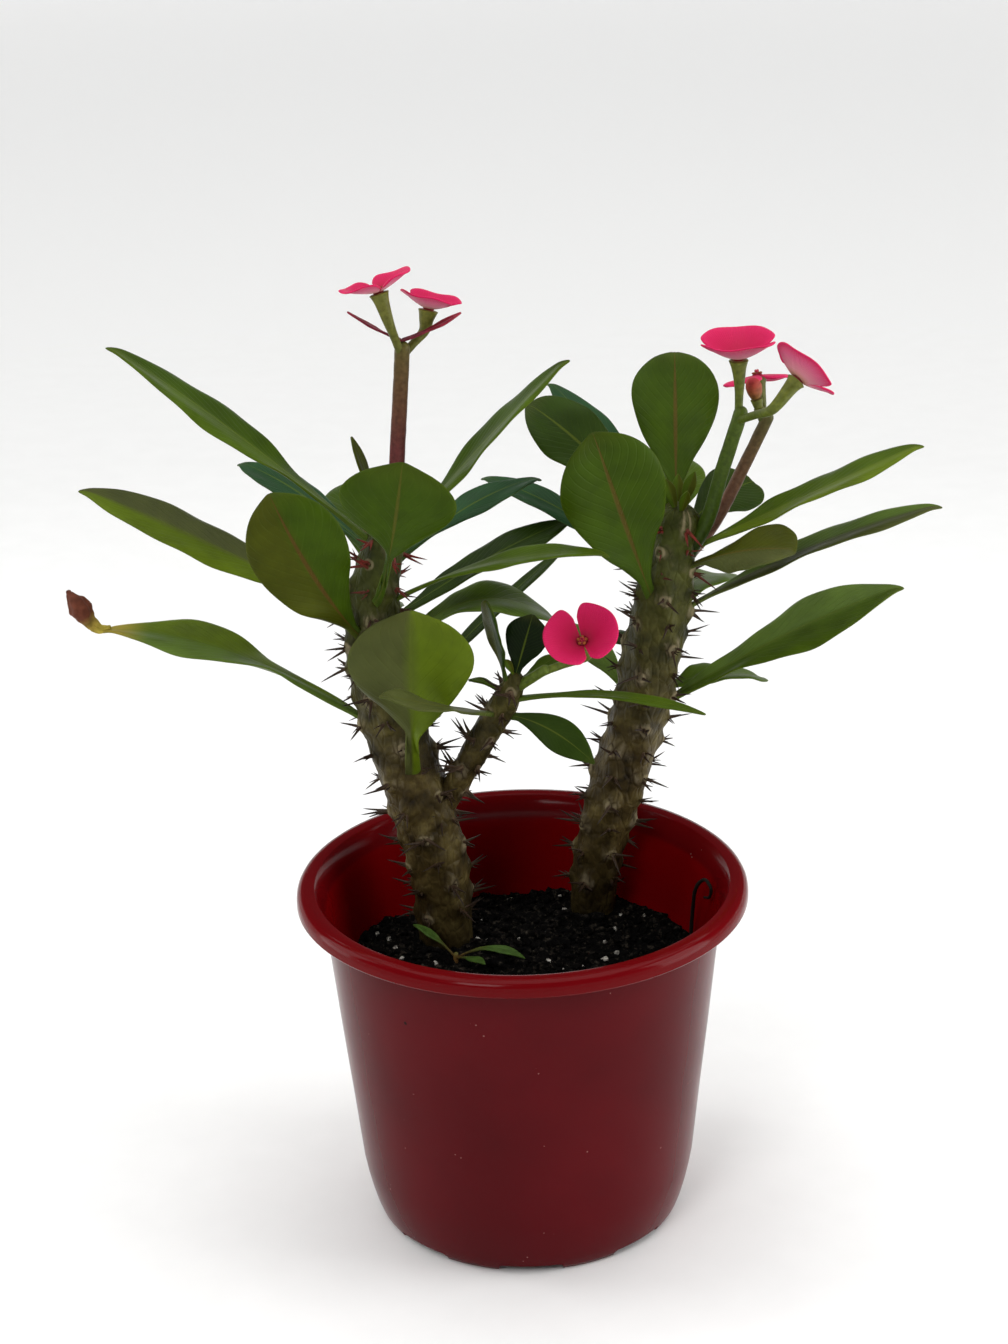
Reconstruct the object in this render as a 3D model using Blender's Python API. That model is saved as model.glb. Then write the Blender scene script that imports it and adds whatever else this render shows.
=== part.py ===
"""Crown of thorns plant growing in a round nursery pot.

Metres, +Z up. The origin is the centre of the pot's flat underside, +X is the plant's right
and +Y its back. The tables and the shape functions count in millimetres, and new_object turns
them into metres. Two spiny stems stand in holes in the soil, the left one with a side branch.
Leaves, flower stalks and spines sit on the stems, and blooms sit on the cups of the stalks.
"""
import math
import random
from collections import namedtuple

import bmesh
import bpy
from mathutils import Matrix, Vector, noise
from mathutils.bvhtree import BVHTree

MM = 0.001
GAP = 0.3

# Pot, a turned shell with a turned down lip
POT_HEIGHT = 112.0
LIP_RADIUS = 70.0
OPENING_RADIUS = 64.0
BODY_TOP_RADIUS = 61.9
BODY_LOW_RADIUS = 52.7
FOOT_RADIUS = 46.5
WALL = 1.2
FLOOR = 1.6
POT_SEGMENTS = 40
POT_OUTSIDE = [
    (FOOT_RADIUS, 0.0), (48.8, 3.0), (50.6, 8.8), (BODY_LOW_RADIUS, 19.5), (BODY_TOP_RADIUS, 104.0),
    (62.6, 107.2), (65.2, 110.0), (68.2, 110.0), (68.8, 107.0), (LIP_RADIUS, 107.0),
    (LIP_RADIUS, 109.6), (69.0, 111.4), (67.2, POT_HEIGHT), (64.8, POT_HEIGHT)]
POT_INSIDE = [
    (OPENING_RADIUS, POT_HEIGHT - 0.5), (61.6, 107.0), (BODY_TOP_RADIUS - WALL, 102.0),
    (BODY_LOW_RADIUS - WALL, 19.5), (49.2, 8.8), (45.6, FLOOR)]
DRAIN_COUNT = 8
DRAIN_SIZE = (14.0, 20.0, 5.2)
DRAIN_REACH = 48.0

# Soil, filled to a little above two thirds of the pot
SOIL_EDGE_HEIGHT = 80.5
SOIL_BACK_DROP = 2.2
SOIL_MOUND = 2.4
MOUND_SPREAD = 520.0
SOIL_RINGS = 4
SOIL_CORE = 2.0
STEM_FEET = [(-24, 21), (23, 40)]

# Stems: centreline and radius at each point
LEFT_STEM = [
    ((-24.5, 21.5, 62), 9.2), ((-24.7, 21, 80), 9.2), ((-25.2, 20, 94), 9.4), ((-26.4, 19.5, 108), 9.7),
    ((-29, 18.5, 122), 10.1), ((-33, 17.5, 137), 10.2), ((-37.2, 17, 152), 10.1),
    ((-40.5, 16, 166), 9.8), ((-43, 15, 178), 9.3), ((-44, 14.5, 190), 8.8),
    ((-42.6, 13.5, 203), 8.0), ((-39.9, 13, 215), 6.8), ((-38, 12, 223), 5.3)]
RIGHT_STEM = [
    ((22.8, 41, 62), 8.0), ((23, 40.5, 81), 8.0), ((24.2, 39, 97), 8.1), ((27, 38.5, 112), 8.4),
    ((31, 37.5, 126), 9.2), ((35.2, 37, 140), 9.1), ((38.9, 36, 154), 9.0),
    ((41.7, 35, 168), 9.5), ((44.4, 34.5, 182), 9.4), ((46.4, 33.5, 195), 8.9),
    ((48.6, 33, 207), 8.2), ((50.6, 32, 217), 7.0)]
SIDE_BRANCH = [
    ((-29, 18, 124), 4.6), ((-25, 18, 129), 4.8), ((-21, 17, 135), 4.7), ((-16.5, 14.5, 144), 4.7),
    ((-11.5, 12, 153.5), 5.0), ((-6.5, 10, 163), 5.1), ((-2.5, 7.5, 171), 4.6),
    ((-0.5, 6, 176), 3.2)]
STEM_SIDES = 14
BRANCH_SIDES = 10
RING_PITCH = 5.0

# Knobs stand on a spiral at the golden angle, and each carries a few spines
GOLDEN_ANGLE = math.radians(137.5)
KNOB_PITCH = 3.5
KNOB_RISE = 1.6
KNOB_SPREAD = 3.4
BARE_FOOT = 88.0
SPINE_LENGTH = (5.0, 10.5)
SPINE_FOOT_RADIUS = 0.775
SPINE_ROOT = 2.6
SPINE_CLEARANCE = 1.5
SPINE_SEED = 41

# Leaves: half width along the length as a share of the full half width
BLADE_OUTLINE = [
    (0.0, 0.0), (0.16, 0.02), (0.34, 0.33), (0.52, 0.74), (0.68, 0.98), (0.80, 0.98), (0.90, 0.76),
    (0.965, 0.44), (1.0, 0.07)]
SLENDER_OUTLINE = [
    (0.0, 0.0), (0.16, 0.10), (0.34, 0.40), (0.52, 0.76), (0.66, 0.98), (0.77, 0.94), (0.88, 0.62),
    (0.955, 0.28), (1.0, 0.05)]
SLENDER_RATIO = 2.9
BLADE_STEPS = (0.0, 0.14, 0.30, 0.45, 0.60, 0.75, 0.87, 0.95, 1.0)
SMALL_BLADE_STEPS = (0.0, 0.3, 0.6, 0.85, 1.0)
PETIOLE_HALF_WIDTH = 1.4
PETIOLE_THICKNESS = 1.5
BLADE_THICKNESS = 0.8
FOLD = 0.16
EDGE_WAVE = 0.05

# Each leaf: its stem, the height of its root there, its tip, its width, how far its midline
# arches up and leans to the front, the way that its broad side looks, and the bare share of it
Leaf = namedtuple("Leaf", "name stem height tip width arch lean face bare", defaults=(0.0,))
UP = (0, 0, 1)
TILTED = (0, -0.18, 1)
LEANING = (0, -0.36, 1)
FRONT = (0, -1, 0.4)
LEAVES = [
    Leaf("leaf_l_up_left", "left", 216, (-119, 20, 280), 25, 2, 0, UP),
    Leaf("leaf_l_mid_left", "left", 192, (-130, 16, 237), 25, 1, 0, TILTED),
    Leaf("leaf_l_front_left", "left", 184, (-71, -9, 242), 29, -3, 6, FRONT),
    Leaf("leaf_l_top_front", "left", 198, (-31, -30, 257), 34, -7, 7, FRONT, 0.48),
    Leaf("leaf_l_up_right", "left", 211, (17, 8, 276), 22, 2, 0, (0, -0.08, 1)),
    Leaf("leaf_l_back_left", "left", 212, (-86, 57, 231), 16, 4, 0, UP),
    Leaf("leaf_l_right_high", "left", 206, (9, 50, 226), 15, 5, 0, UP),
    Leaf("leaf_l_right_mid", "left", 196, (28, -9, 221), 16, 6, 0, UP),
    Leaf("leaf_l_right_dark", "left", 188, (19, 56, 210), 19, 3, 0, UP),
    Leaf("leaf_l_arch", "left", 176, (14, 52, 176), 24, 15, 0, TILTED),
    Leaf("leaf_l_edge_on", "left", 160, (17.5, 85, 191), 9, 2, 0, (0, 0.3, 1)),
    Leaf("leaf_l_big_front", "left", 138, (-31.3, -4, 202.8), 38, -8, 9, FRONT, 0.46),
    Leaf("leaf_l_low_left", "left", 151, (-127, 15, 192), 26, 9, 0, UP),
    Leaf("leaf_l_sprout", "left", 221, (-48, 20, 250), 6, 1, 0, (1, -0.5, 0.3)),
    Leaf("leaf_b_left", "branch", 163, (-40, -31, 187), 15, 2, 7, TILTED),
    Leaf("leaf_b_up", "branch", 171, (-8.6, 0, 204), 12, 0, 0, (-1, -0.5, 0)),
    Leaf("leaf_b_round", "branch", 173, (5, 2, 198), 13, 0, 0, FRONT),
    Leaf("leaf_b_small", "branch", 172, (14, 17, 179), 8, 1, 0, UP),
    Leaf("leaf_b_long", "branch", 168, (56, -16, 172), 8, 4, 0, UP),
    Leaf("leaf_b_droop", "branch", 163, (23, 0, 150), 11, 4, 0, FRONT),
    Leaf("leaf_b_tiny", "branch", 169, (-15, 16, 172), 4, 2, 0, UP),
    Leaf("leaf_r_upright", "right", 214, (52, 74, 259), 27.5, 0, 0, (0, -1, 0.5)),
    Leaf("leaf_r_front", "right", 184, (24, 4, 254), 32, 0, 4, (0.1, -1, 0.3)),
    Leaf("leaf_r_dark_back", "right", 208, (5, 46, 251), 26, 4, 0, LEANING),
    Leaf("leaf_r_blue_back", "right", 211, (12, 77, 249), 15, 3, 0, UP),
    Leaf("leaf_r_long_left", "right", 196, (-10, 71, 220), 16, 4, 0, UP),
    Leaf("leaf_r_right_high", "right", 204, (125, 31, 240), 24, 0, 0, UP),
    Leaf("leaf_r_right_mid", "right", 182, (131, 29, 221), 21, 4, 0, UP),
    Leaf("leaf_r_right_low", "right", 149, (121, 37, 192), 27, 3, 0, TILTED),
    Leaf("leaf_r_low_back", "right", 155, (80, 64, 151), 20, 5, 0, UP),
    Leaf("leaf_r_round_back", "right", 210, (77, 65, 218), 19, 3, 0, (0, -0.8, 1)),
    Leaf("leaf_r_front_right", "right", 198, (84, 7, 215), 24, 3, 0, LEANING),
    Leaf("leaf_r_low_left", "right", 152, (13.6, 78, 167), 14, 4, 0, UP),
    Leaf("leaf_r_tuck", "right", 170, (26, 50, 172), 12, 3, 0, UP),
    Leaf("leaf_l_behind_high", "left", 203, (-52, 86, 214), 24, 5, 0, UP),
    Leaf("leaf_l_behind_low", "left", 172, (-50, 84, 172), 24, 8, 0, UP),
    Leaf("leaf_r_behind_high", "right", 200, (52, 112, 212), 25, 6, 0, UP),
    Leaf("leaf_r_behind_low", "right", 176, (70, 104, 172), 24, 8, 0, UP)]

# Withered end of the low left leaf
DRIED_LEAF = "leaf_l_low_left"
DRIED_START = (-0.55, -0.1, 0.15)
DRIED_PATH = [
    ((0, 0, 0), 0.5), ((-2.4, -0.4, 3.0), 1.9), ((-4.4, -1.0, 6.6), 3.3), ((-6.2, -0.6, 9.6), 2.4),
    ((-8.2, 0.6, 12.0), 0.7)]

# Flower stalks: the stalk, then its cups, each with the direction that its bloom faces
Cup = namedtuple("Cup", "name place facing spin radius rise")
Stalk = namedtuple("Stalk", "name stem path radius cups bracts")
CUP_RADIUS = 2.7
BUD_CUP_SHARE = 0.63
PEDICEL_RADIUS = 1.25
STALK_SIDES = 8
STALKS = [
    Stalk("stalk_left", "left",
          [(-38.2, 12, 219), (-35.2, 12, 235), (-33.2, 12, 257), (-31.4, 12, 279)], 2.5,
          [Cup("bloom_left_a", (-37.4, 8, 296.6), (-0.3, 0.12, 1), 0.3, 11.0, 4.0),
           Cup("bloom_left_b", (-23.6, 18, 288.6), (0.24, 0.15, 1), 1.1, 9.6, 4.5)],
          [(-47.0, 9, 291.2), (-13.8, 15, 288.6)]),
    Stalk("stalk_right_front", "right",
          [(53.6, 31.4, 206), (59.5, 30, 218), (63.9, 29, 234), (69.3, 28, 252)], 2.4,
          [Cup("bloom_right_a", (68.6, 29, 268.0), (-0.04, -0.02, 1), 1.5, 12.6, 7.0),
           Cup("bloom_right_b", (84.4, 14, 265.6), (0.66, 0.36, 0.66), 1.3, 11.7, 5.0)], []),
    Stalk("stalk_right_back", "right",
          [(53.2, 36.4, 203), (62.2, 38, 214), (70.6, 39.5, 230), (78.6, 42, 246)], 2.1,
          [Cup("bloom_right_c", (77.0, 60, 253.5), (-0.12, 0.3, 1), 0.2, 11.0, -1.5),
           Cup("bud_right", (75.2, 42.5, 251.8), (-0.25, 0, 1), 0.0, 2.6, 0.0)], []),
    Stalk("stalk_branch", "branch", [(-0.6, 6.4, 173), (3.6, 4, 176.6), (8.4, 1, 181)], 1.7,
          [Cup("bloom_branch", (19.8, -6, 192.0), (-0.12, -0.6, 0.78), 0.25, 11.4, 5.5)], [])]

# Blooms: two kidney shaped petals that meet in a shallow bowl
BLOOM_THICKNESS = 0.8
BLOOM_SEGMENTS = 20
BLOOM_RINGS = (0.26, 0.62, 1.0)
NOTCH_DEPTH = 0.42
NOTCH_WIDTH = 0.17
EYE_RADIUS = 2.3
EYE_RISE = 1.5
BUD_PROFILE = [(1.2, 6.6), (2.1, 5.6), (2.6, 3.8), (2.3, 1.8), (1.6, 0.0)]

# Seedling in front of the left stem, and a dry tendril at the back of the pot
SEEDLING_STEM = [(-21.5, 2.0, 73.0), (-21.5, 2.0, 81.0), (-21.3, 2.0, 85.0)]
SEEDLING_RADIUS = 0.8
SEEDLING_LEAVES = [
    ((-34.5, 3.5, 95.0), 5.0, 1.5), ((0.5, -4.0, 86.0), 5.0, 3.5), ((-12.0, -12.0, 88.5), 4.0, 1.0)]
TENDRIL_PATH = [
    (53.0, 17.0, 72.0), (53.4, 17.0, 82.0), (53.9, 14.5, 93.0), (54.6, 10.5, 102.0), (57.0, 7.0, 106.6),
    (58.9, 4.5, 104.8), (58.6, 6.0, 101.0), (57.2, 8.4, 99.8)]
TENDRIL_RADIUS = 0.65


def material(name, colour, roughness, metallic=0.0):
    """A Principled material with one plain colour."""
    made = bpy.data.materials.get(name) or bpy.data.materials.new(name)
    made.use_nodes = True
    shader = made.node_tree.nodes["Principled BSDF"]
    shader.inputs["Base Color"].default_value = (*colour, 1.0)
    shader.inputs["Roughness"].default_value = roughness
    shader.inputs["Metallic"].default_value = metallic
    return made


def new_object(name, points, faces, paint, origin=(0, 0, 0)):
    """A mesh object from millimetres, with its origin at the given place."""
    mesh = bpy.data.meshes.new(name)
    start = Vector(origin)
    mesh.from_pydata([(Vector(point) - start) * MM for point in points], [], faces)
    mesh.shade_smooth()
    mesh.set_sharp_from_angle(angle=math.radians(35))
    made = bpy.data.objects.new(name, mesh)
    made.location = start * MM
    bpy.context.scene.collection.objects.link(made)
    mesh.materials.append(paint)
    return made


def make_cutter(made):
    """Marks an object as a guide that only cuts others."""
    made.hide_render = True
    made.display_type = "WIRE"
    return made


def apply_modifiers(made):
    """Turns what the modifiers show into the object's own mesh."""
    bpy.context.view_layer.update()
    graph = bpy.context.evaluated_depsgraph_get()
    mesh = bpy.data.meshes.new_from_object(made.evaluated_get(graph))
    made.modifiers.clear()
    made.data = mesh


def combine(made, others, operation, solver="EXACT"):
    """Joins the other objects to this one, or cuts it with them, in one Boolean."""
    group = bpy.data.collections.new(made.name + "_others")
    bpy.context.scene.collection.children.link(group)
    for other in others:
        group.objects.link(other)
    boolean = made.modifiers.new("Boolean", "BOOLEAN")
    boolean.operation = operation
    boolean.solver = solver
    boolean.operand_type = "COLLECTION"
    boolean.collection = group
    apply_modifiers(made)
    bpy.data.collections.remove(group)


def remove_objects(objects):
    """Takes objects that were joined or have done their cutting out of the scene."""
    for made in objects:
        bpy.data.objects.remove(made)


def turn(profile, segments):
    """Points and faces of a closed profile of (radius, height) turned about Z."""
    points, faces = [], []
    count = len(profile)
    for step in range(segments):
        angle = math.tau * step / segments
        for radius, height in profile:
            points.append((radius * math.cos(angle), radius * math.sin(angle), height))
    for step in range(segments):
        near = step * count
        far = ((step + 1) % segments) * count
        for row in range(count - 1):
            faces.append((near + row + 1, far + row + 1, far + row, near + row))
    faces.append(tuple(step * count for step in range(segments)))
    faces.append(tuple(step * count + count - 1 for step in reversed(range(segments))))
    return points, faces


def make_pot(paint):
    """The turned pot, with drain notches cut in its bottom edge."""
    points, faces = turn(POT_OUTSIDE + POT_INSIDE, POT_SEGMENTS)
    pot = new_object("pot", points, faces, paint)
    notches = []
    for number in range(DRAIN_COUNT):
        angle = -math.pi / 2 + math.tau * number / DRAIN_COUNT
        bpy.ops.mesh.primitive_cube_add(size=1.0)
        notch = make_cutter(bpy.context.object)
        notch.dimensions = [side * MM for side in DRAIN_SIZE]
        reach = DRAIN_REACH * MM
        notch.location = (reach * math.cos(angle), reach * math.sin(angle), 0.0)
        notch.rotation_euler.z = angle
        notches.append(notch)
    combine(pot, notches, "DIFFERENCE")
    remove_objects(notches)
    return pot


def soil_height(x, y):
    """Height of the soil's lumpy top, raised around each stem."""
    rise = sum(SOIL_MOUND * math.exp(-((x - foot_x) ** 2 + (y - foot_y) ** 2) / MOUND_SPREAD)
               for foot_x, foot_y in STEM_FEET)
    rise -= SOIL_BACK_DROP * max(0.0, y / BODY_TOP_RADIUS)
    lumps = 1.6 * noise.noise(Vector((x, y, 3.0)) / 14.0) + 0.8 * noise.noise(Vector((x, y, 9.0)) / 5.5)
    return SOIL_EDGE_HEIGHT + rise + lumps


def make_soil(paint):
    """Soil that fills the pot inside its wall, up to the lumpy top."""
    high, waist, low, floor = POT_INSIDE[2:]
    slope = (high[0] - waist[0]) / (high[1] - waist[1])
    rings = [1 - 0.97 * (ring / SOIL_RINGS) ** 0.85 for ring in range(SOIL_RINGS + 1)]
    wall = [(SOIL_CORE, FLOOR + GAP), (floor[0] - GAP, FLOOR + GAP), (low[0] - GAP, low[1]),
            (waist[0] - GAP, waist[1])]
    points, faces = turn(wall + [(share, None) for share in rings], POT_SEGMENTS)
    lumpy = []
    for x, y, z in points:
        if z is None:
            share = math.hypot(x, y)
            reach = waist[0] - GAP + slope * (SOIL_EDGE_HEIGHT - waist[1])
            z = soil_height(x * reach, y * reach)
            reach = (waist[0] - GAP + slope * (z - waist[1])) if share > 0.999 else reach
            x, y = x * reach, y * reach
        lumpy.append((x, y, z))
    return new_object("soil", lumpy, faces, paint)


def spline(knots, share):
    """Point and radius on a smooth curve through the knots, share from 0 to 1."""
    place = share * (len(knots) - 1)
    index = min(int(place), len(knots) - 2)
    part = place - index
    rows = []
    for step in (-1, 0, 1, 2):
        spot, radius = knots[max(0, min(len(knots) - 1, index + step))]
        rows.append((*spot, radius))
    values = []
    for a, b, c, d in zip(*rows):
        values.append(0.5 * (2 * b + (c - a) * part + (2 * a - 5 * b + 4 * c - d) * part ** 2
                             + (3 * b - a - 3 * c + d) * part ** 3))
    return Vector(values[:3]), values[3]


def stem_point(knots, height):
    """Centre and radius of a stem at a height."""
    low, high = 0.0, 1.0
    for _ in range(24):
        middle = (low + high) / 2
        if spline(knots, middle)[0].z < height:
            low = middle
        else:
            high = middle
    return spline(knots, (low + high) / 2)


def tube(centres, radii, sides, bump=None):
    """Points and faces of a closed tube with rounded ends along the centres."""
    side = (centres[1] - centres[0]).orthogonal().normalized()
    points, faces = [], []
    last = len(centres) - 1
    for index, centre in enumerate(centres):
        along = (centres[min(index + 1, last)] - centres[max(index - 1, 0)]).normalized()
        side = (side - along * side.dot(along)).normalized()
        other = along.cross(side)
        for step in range(sides):
            angle = math.tau * step / sides
            ray = side * math.cos(angle) + other * math.sin(angle)
            extra = bump(centre, ray) if bump else 0.0
            points.append(centre + ray * (radii[index] + extra))
    for index in range(last):
        for step in range(sides):
            following = (step + 1) % sides
            near = index * sides
            far = near + sides
            faces.append((near + step, near + following, far + following, far + step))
    faces.append(tuple(reversed(range(sides))))
    faces.append(tuple(range(last * sides, (last + 1) * sides)))
    return points, faces


def knob_places(knots):
    """Centre, direction, axis and radius at each knob of a stem, on the golden angle spiral."""
    length = (Vector(knots[-1][0]) - Vector(knots[0][0])).length
    count = int(length / KNOB_PITCH)
    places = []
    for number in range(count):
        centre, radius = spline(knots, (number + 0.5) / count)
        along = (spline(knots, (number + 0.9) / count)[0] - centre).normalized()
        if centre.z < BARE_FOOT:
            continue
        angle = number * GOLDEN_ANGLE
        flat = Vector((math.cos(angle), math.sin(angle), 0))
        ray = (flat - along * flat.dot(along)).normalized()
        places.append((centre, ray, along, radius))
    return places


def make_stem(name, knots, sides, paint, extra=0.0):
    """A knobbly stem, or with extra radius the cutter that clears a seat for what grows on it."""
    length = (Vector(knots[-1][0]) - Vector(knots[0][0])).length
    rings = int(length / RING_PITCH)
    knobs = [centre + ray * radius for centre, ray, along, radius in knob_places(knots)]
    centres, radii = [], []
    for ring in range(rings + 1):
        centre, radius = spline(knots, ring / rings)
        centres.append(centre)
        radii.append(radius + extra)
    along = (centres[-1] - centres[-2]).normalized()
    tip_radius = radii[-1]
    for turn_angle in (35, 68):
        angle = math.radians(turn_angle)
        centres.append(centres[rings] + along * (tip_radius - extra) * math.sin(angle) * 0.8)
        radii.append(tip_radius * math.cos(angle))
    centres[-1] = centres[-1] + along * extra
    if extra:
        centres[0] = centres[0] - (centres[1] - centres[0]).normalized() * extra

    def bump(centre, ray):
        place = centre + ray * 9.0
        return sum(KNOB_RISE * math.exp(-((place - knob).length / KNOB_SPREAD) ** 2)
                   for knob in knobs if (place - knob).length < 3 * KNOB_SPREAD)

    points, faces = tube(centres, radii, sides, bump)
    return new_object(name, points, faces, paint)


def share_of(outline, place):
    """Straight reading of an outline between its points."""
    for (x0, y0), (x1, y1) in zip(outline, outline[1:]):
        if place <= x1:
            return y0 + (y1 - y0) * (place - x0) / (x1 - x0)
    return outline[-1][1]


def leaf_line(root, tip, arch, lean, share):
    """Point on the curved midline of a leaf."""
    control = (root + tip) / 2 + 2 * Vector((0, -lean, arch))
    return root * (1 - share) ** 2 + control * 2 * share * (1 - share) + tip * share ** 2


def blade(root, tip, curve, face, width, thickness, petiole, steps=BLADE_STEPS, bare=0.0):
    """Points and faces of a thin blade, folded along its midrib and a little waved."""
    half_petiole, petiole_thickness = petiole
    slender = (tip - root).length > SLENDER_RATIO * width
    outline = SLENDER_OUTLINE if slender else BLADE_OUTLINE
    points, faces = [], []
    across = (-1.0, 0.0, 1.0)
    for share in steps:
        centre = leaf_line(root, tip, *curve, share)
        along = leaf_line(root, tip, *curve, share + 0.01) - leaf_line(root, tip, *curve, share - 0.01)
        along.normalize()
        normal = (Vector(face) - along * along.dot(Vector(face))).normalized()
        side = along.cross(normal)
        leafy = max(0.0, (share - bare) / (1 - bare))
        half = max(half_petiole * (1 - 0.5 * share), width / 2 * share_of(outline, leafy))
        blend = min(1.0, max(0.0, (share - 0.1) / 0.3))
        depth = petiole_thickness + (thickness - petiole_thickness) * blend
        upper, lower = [], []
        for part in across:
            wave = EDGE_WAVE * width * abs(part) ** 2 * blend * math.sin(11 * share + 2.2 * part + tip.x)
            lift = FOLD * abs(part) * half * blend + wave * (1 - share ** 4)
            place = centre + side * part * half + normal * lift
            upper.append(place + normal * depth / 2)
            lower.append(place - normal * depth / 2)
        points += upper + lower
    row = 2 * len(across)
    for index in range(len(steps) - 1):
        a, b = index * row, (index + 1) * row
        for column in range(len(across) - 1):
            top = (a + column, a + column + 1, b + column + 1, b + column)
            faces += [(top[0], top[1], top[2]), (top[0], top[2], top[3])]
            low = [number + len(across) for number in top]
            faces += [(low[2], low[1], low[0]), (low[3], low[2], low[0])]
        left, right = 0, len(across) - 1
        faces.append((a + left, b + left, b + left + len(across), a + left + len(across)))
        faces.append((b + right, a + right, a + right + len(across), b + right + len(across)))
    count = len(across)
    end = (len(steps) - 1) * row
    faces.append(tuple(reversed(range(count))) + tuple(range(count, 2 * count)))
    faces.append(tuple(range(end, end + count)) + tuple(reversed(range(end + count, end + 2 * count))))
    return points, faces


def make_leaf(row, stems, paint):
    """One leaf, rooted in the middle of its stem."""
    root = stem_point(stems[row.stem], row.height)[0]
    tip = Vector(row.tip)
    petiole = (min(PETIOLE_HALF_WIDTH, row.width / 5), min(PETIOLE_THICKNESS, row.width / 6))
    points, faces = blade(root, tip, (row.arch, row.lean), row.face, row.width, BLADE_THICKNESS, petiole,
                          bare=row.bare)
    return new_object(row.name, points, faces, paint, root)


def make_dried_end(paint):
    """The shrivelled brown end, just off the tip of its leaf."""
    row = next(leaf for leaf in LEAVES if leaf.name == DRIED_LEAF)
    tip = Vector(row.tip)
    start = tip + Vector(DRIED_START)
    knots = [(tuple(start + Vector(place)), radius) for place, radius in DRIED_PATH]
    centres, radii = [], []
    for step in range(9):
        centre, radius = spline(knots, step / 8)
        centres.append(centre)
        radii.append(radius)

    def folds(centre, ray):
        return 0.32 * math.sin(2.6 * centre.z + 5 * ray.y)

    points, faces = tube(centres, radii, 8, folds)
    return new_object("dried_leaf_end", points, faces, paint, tip)


def smooth_line(places, steps):
    """Even points on a smooth curve through the places."""
    knots = [(tuple(place), 0.0) for place in places]
    return [spline(knots, step / steps)[0] for step in range(steps + 1)]


def make_stalk(row, paint):
    """A flower stalk with its side stalks, cups and bracts joined in one body."""
    path = [Vector(place) for place in row.path]
    centres = smooth_line(path, 9)
    radii = [row.radius * (1 - 0.12 * step / 9) for step in range(10)]
    points, faces = tube(centres, radii, STALK_SIDES)
    stalk = new_object(row.name, points, faces, paint, path[0])
    fork = path[-1]
    extras = []
    for cup in row.cups:
        facing = Vector(cup.facing).normalized()
        end = Vector(cup.place)
        start = fork - (fork - path[-2]).normalized() * 2.5
        bend = end - facing * (end - fork).length * 0.45
        line = smooth_line([start, (start + bend) / 2, bend, end - facing * 2.2, end], 8)
        flare = 1.0 if cup.name.startswith("bloom") else BUD_CUP_SHARE
        radii = [PEDICEL_RADIUS * 1.25, PEDICEL_RADIUS, PEDICEL_RADIUS, 1.3, 1.45]
        radii += [radius * flare for radius in (1.75, 2.1, 2.5, CUP_RADIUS)]
        line[-2] = end - facing * 2.4
        points, faces = tube(line, radii, STALK_SIDES)
        extras.append(new_object(cup.name + "_cup", points, faces, paint))
    for tip in row.bracts:
        start = fork + Vector((0, 0, 2.5))
        points, faces = blade(start, Vector(tip), (-0.8, 0), UP, 5.0, 0.7, (1.4, 1.6), SMALL_BLADE_STEPS)
        extras.append(new_object("bract", points, faces, paint))
    combine(stalk, extras, "UNION")
    remove_objects(extras)
    return stalk


def facing_matrix(cup):
    """Placement of a bloom on its cup, with its Z along the way that it faces."""
    facing = Vector(cup.facing).normalized()
    side = Vector((1, 0, 0)) - facing * facing.x
    side.normalize()
    turned = Matrix((side, facing.cross(side), facing)).transposed().to_4x4()
    place = (Vector(cup.place) + facing * GAP) * MM
    return Matrix.Translation(place) @ turned @ Matrix.Rotation(cup.spin, 4, "Z")


def petal_reach(angle, bloom_radius):
    """Outer radius of the bloom at an angle, with a notch on each side between the petals."""
    off = abs(abs((angle + math.pi) % math.tau - math.pi) - math.pi / 2)
    notch = NOTCH_DEPTH * math.exp(-(off / NOTCH_WIDTH) ** 2)
    return bloom_radius * (0.94 + 0.06 * abs(math.cos(angle))) * (1 - notch)


def bloom_mesh(name, bloom_radius, bloom_rise, paint):
    """Both petals of a bloom and the raised eye between them, as one shallow bowl."""
    upper, lower = [], []
    for share in BLOOM_RINGS:
        for step in range(BLOOM_SEGMENTS):
            angle = math.tau * step / BLOOM_SEGMENTS
            radius = share * petal_reach(angle, bloom_radius)
            if share == BLOOM_RINGS[0]:
                radius = share * bloom_radius
            rise = bloom_rise * (radius / bloom_radius) ** 1.5
            if share == BLOOM_RINGS[0]:
                rise = 0.0
            lower.append((radius * math.cos(angle), radius * math.sin(angle), rise))
            upper.append((radius * math.cos(angle), radius * math.sin(angle), rise + BLOOM_THICKNESS))
    eye = []
    for step in range(BLOOM_SEGMENTS):
        angle = math.tau * step / BLOOM_SEGMENTS
        eye.append((EYE_RADIUS * math.cos(angle), EYE_RADIUS * math.sin(angle),
                    BLOOM_THICKNESS + EYE_RISE))
    points = lower + upper + eye
    count, rings = BLOOM_SEGMENTS, len(BLOOM_RINGS)
    faces = [tuple(reversed(range(count)))]
    offset = count * rings
    for ring in range(rings - 1):
        for step in range(count):
            following = (step + 1) % count
            a, b = ring * count + step, ring * count + following
            c, d = a + count, b + count
            faces += [(a, b, d), (a, d, c)]
            faces += [(a + offset, d + offset, b + offset), (a + offset, c + offset, d + offset)]
    outer = (rings - 1) * count
    for step in range(count):
        following = (step + 1) % count
        a, b = outer + step, outer + following
        faces.append((a, b, b + offset, a + offset))
        a, b = offset + step, offset + following
        faces.append((a, b, b + offset, a + offset))
    faces.append(tuple(range(2 * offset, 2 * offset + count)))
    mesh = bpy.data.meshes.new(name)
    mesh.from_pydata([Vector(point) * MM for point in points], [], faces)
    mesh.shade_smooth()
    mesh.set_sharp_from_angle(angle=math.radians(40))
    mesh.materials.append(paint)
    return mesh


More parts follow.
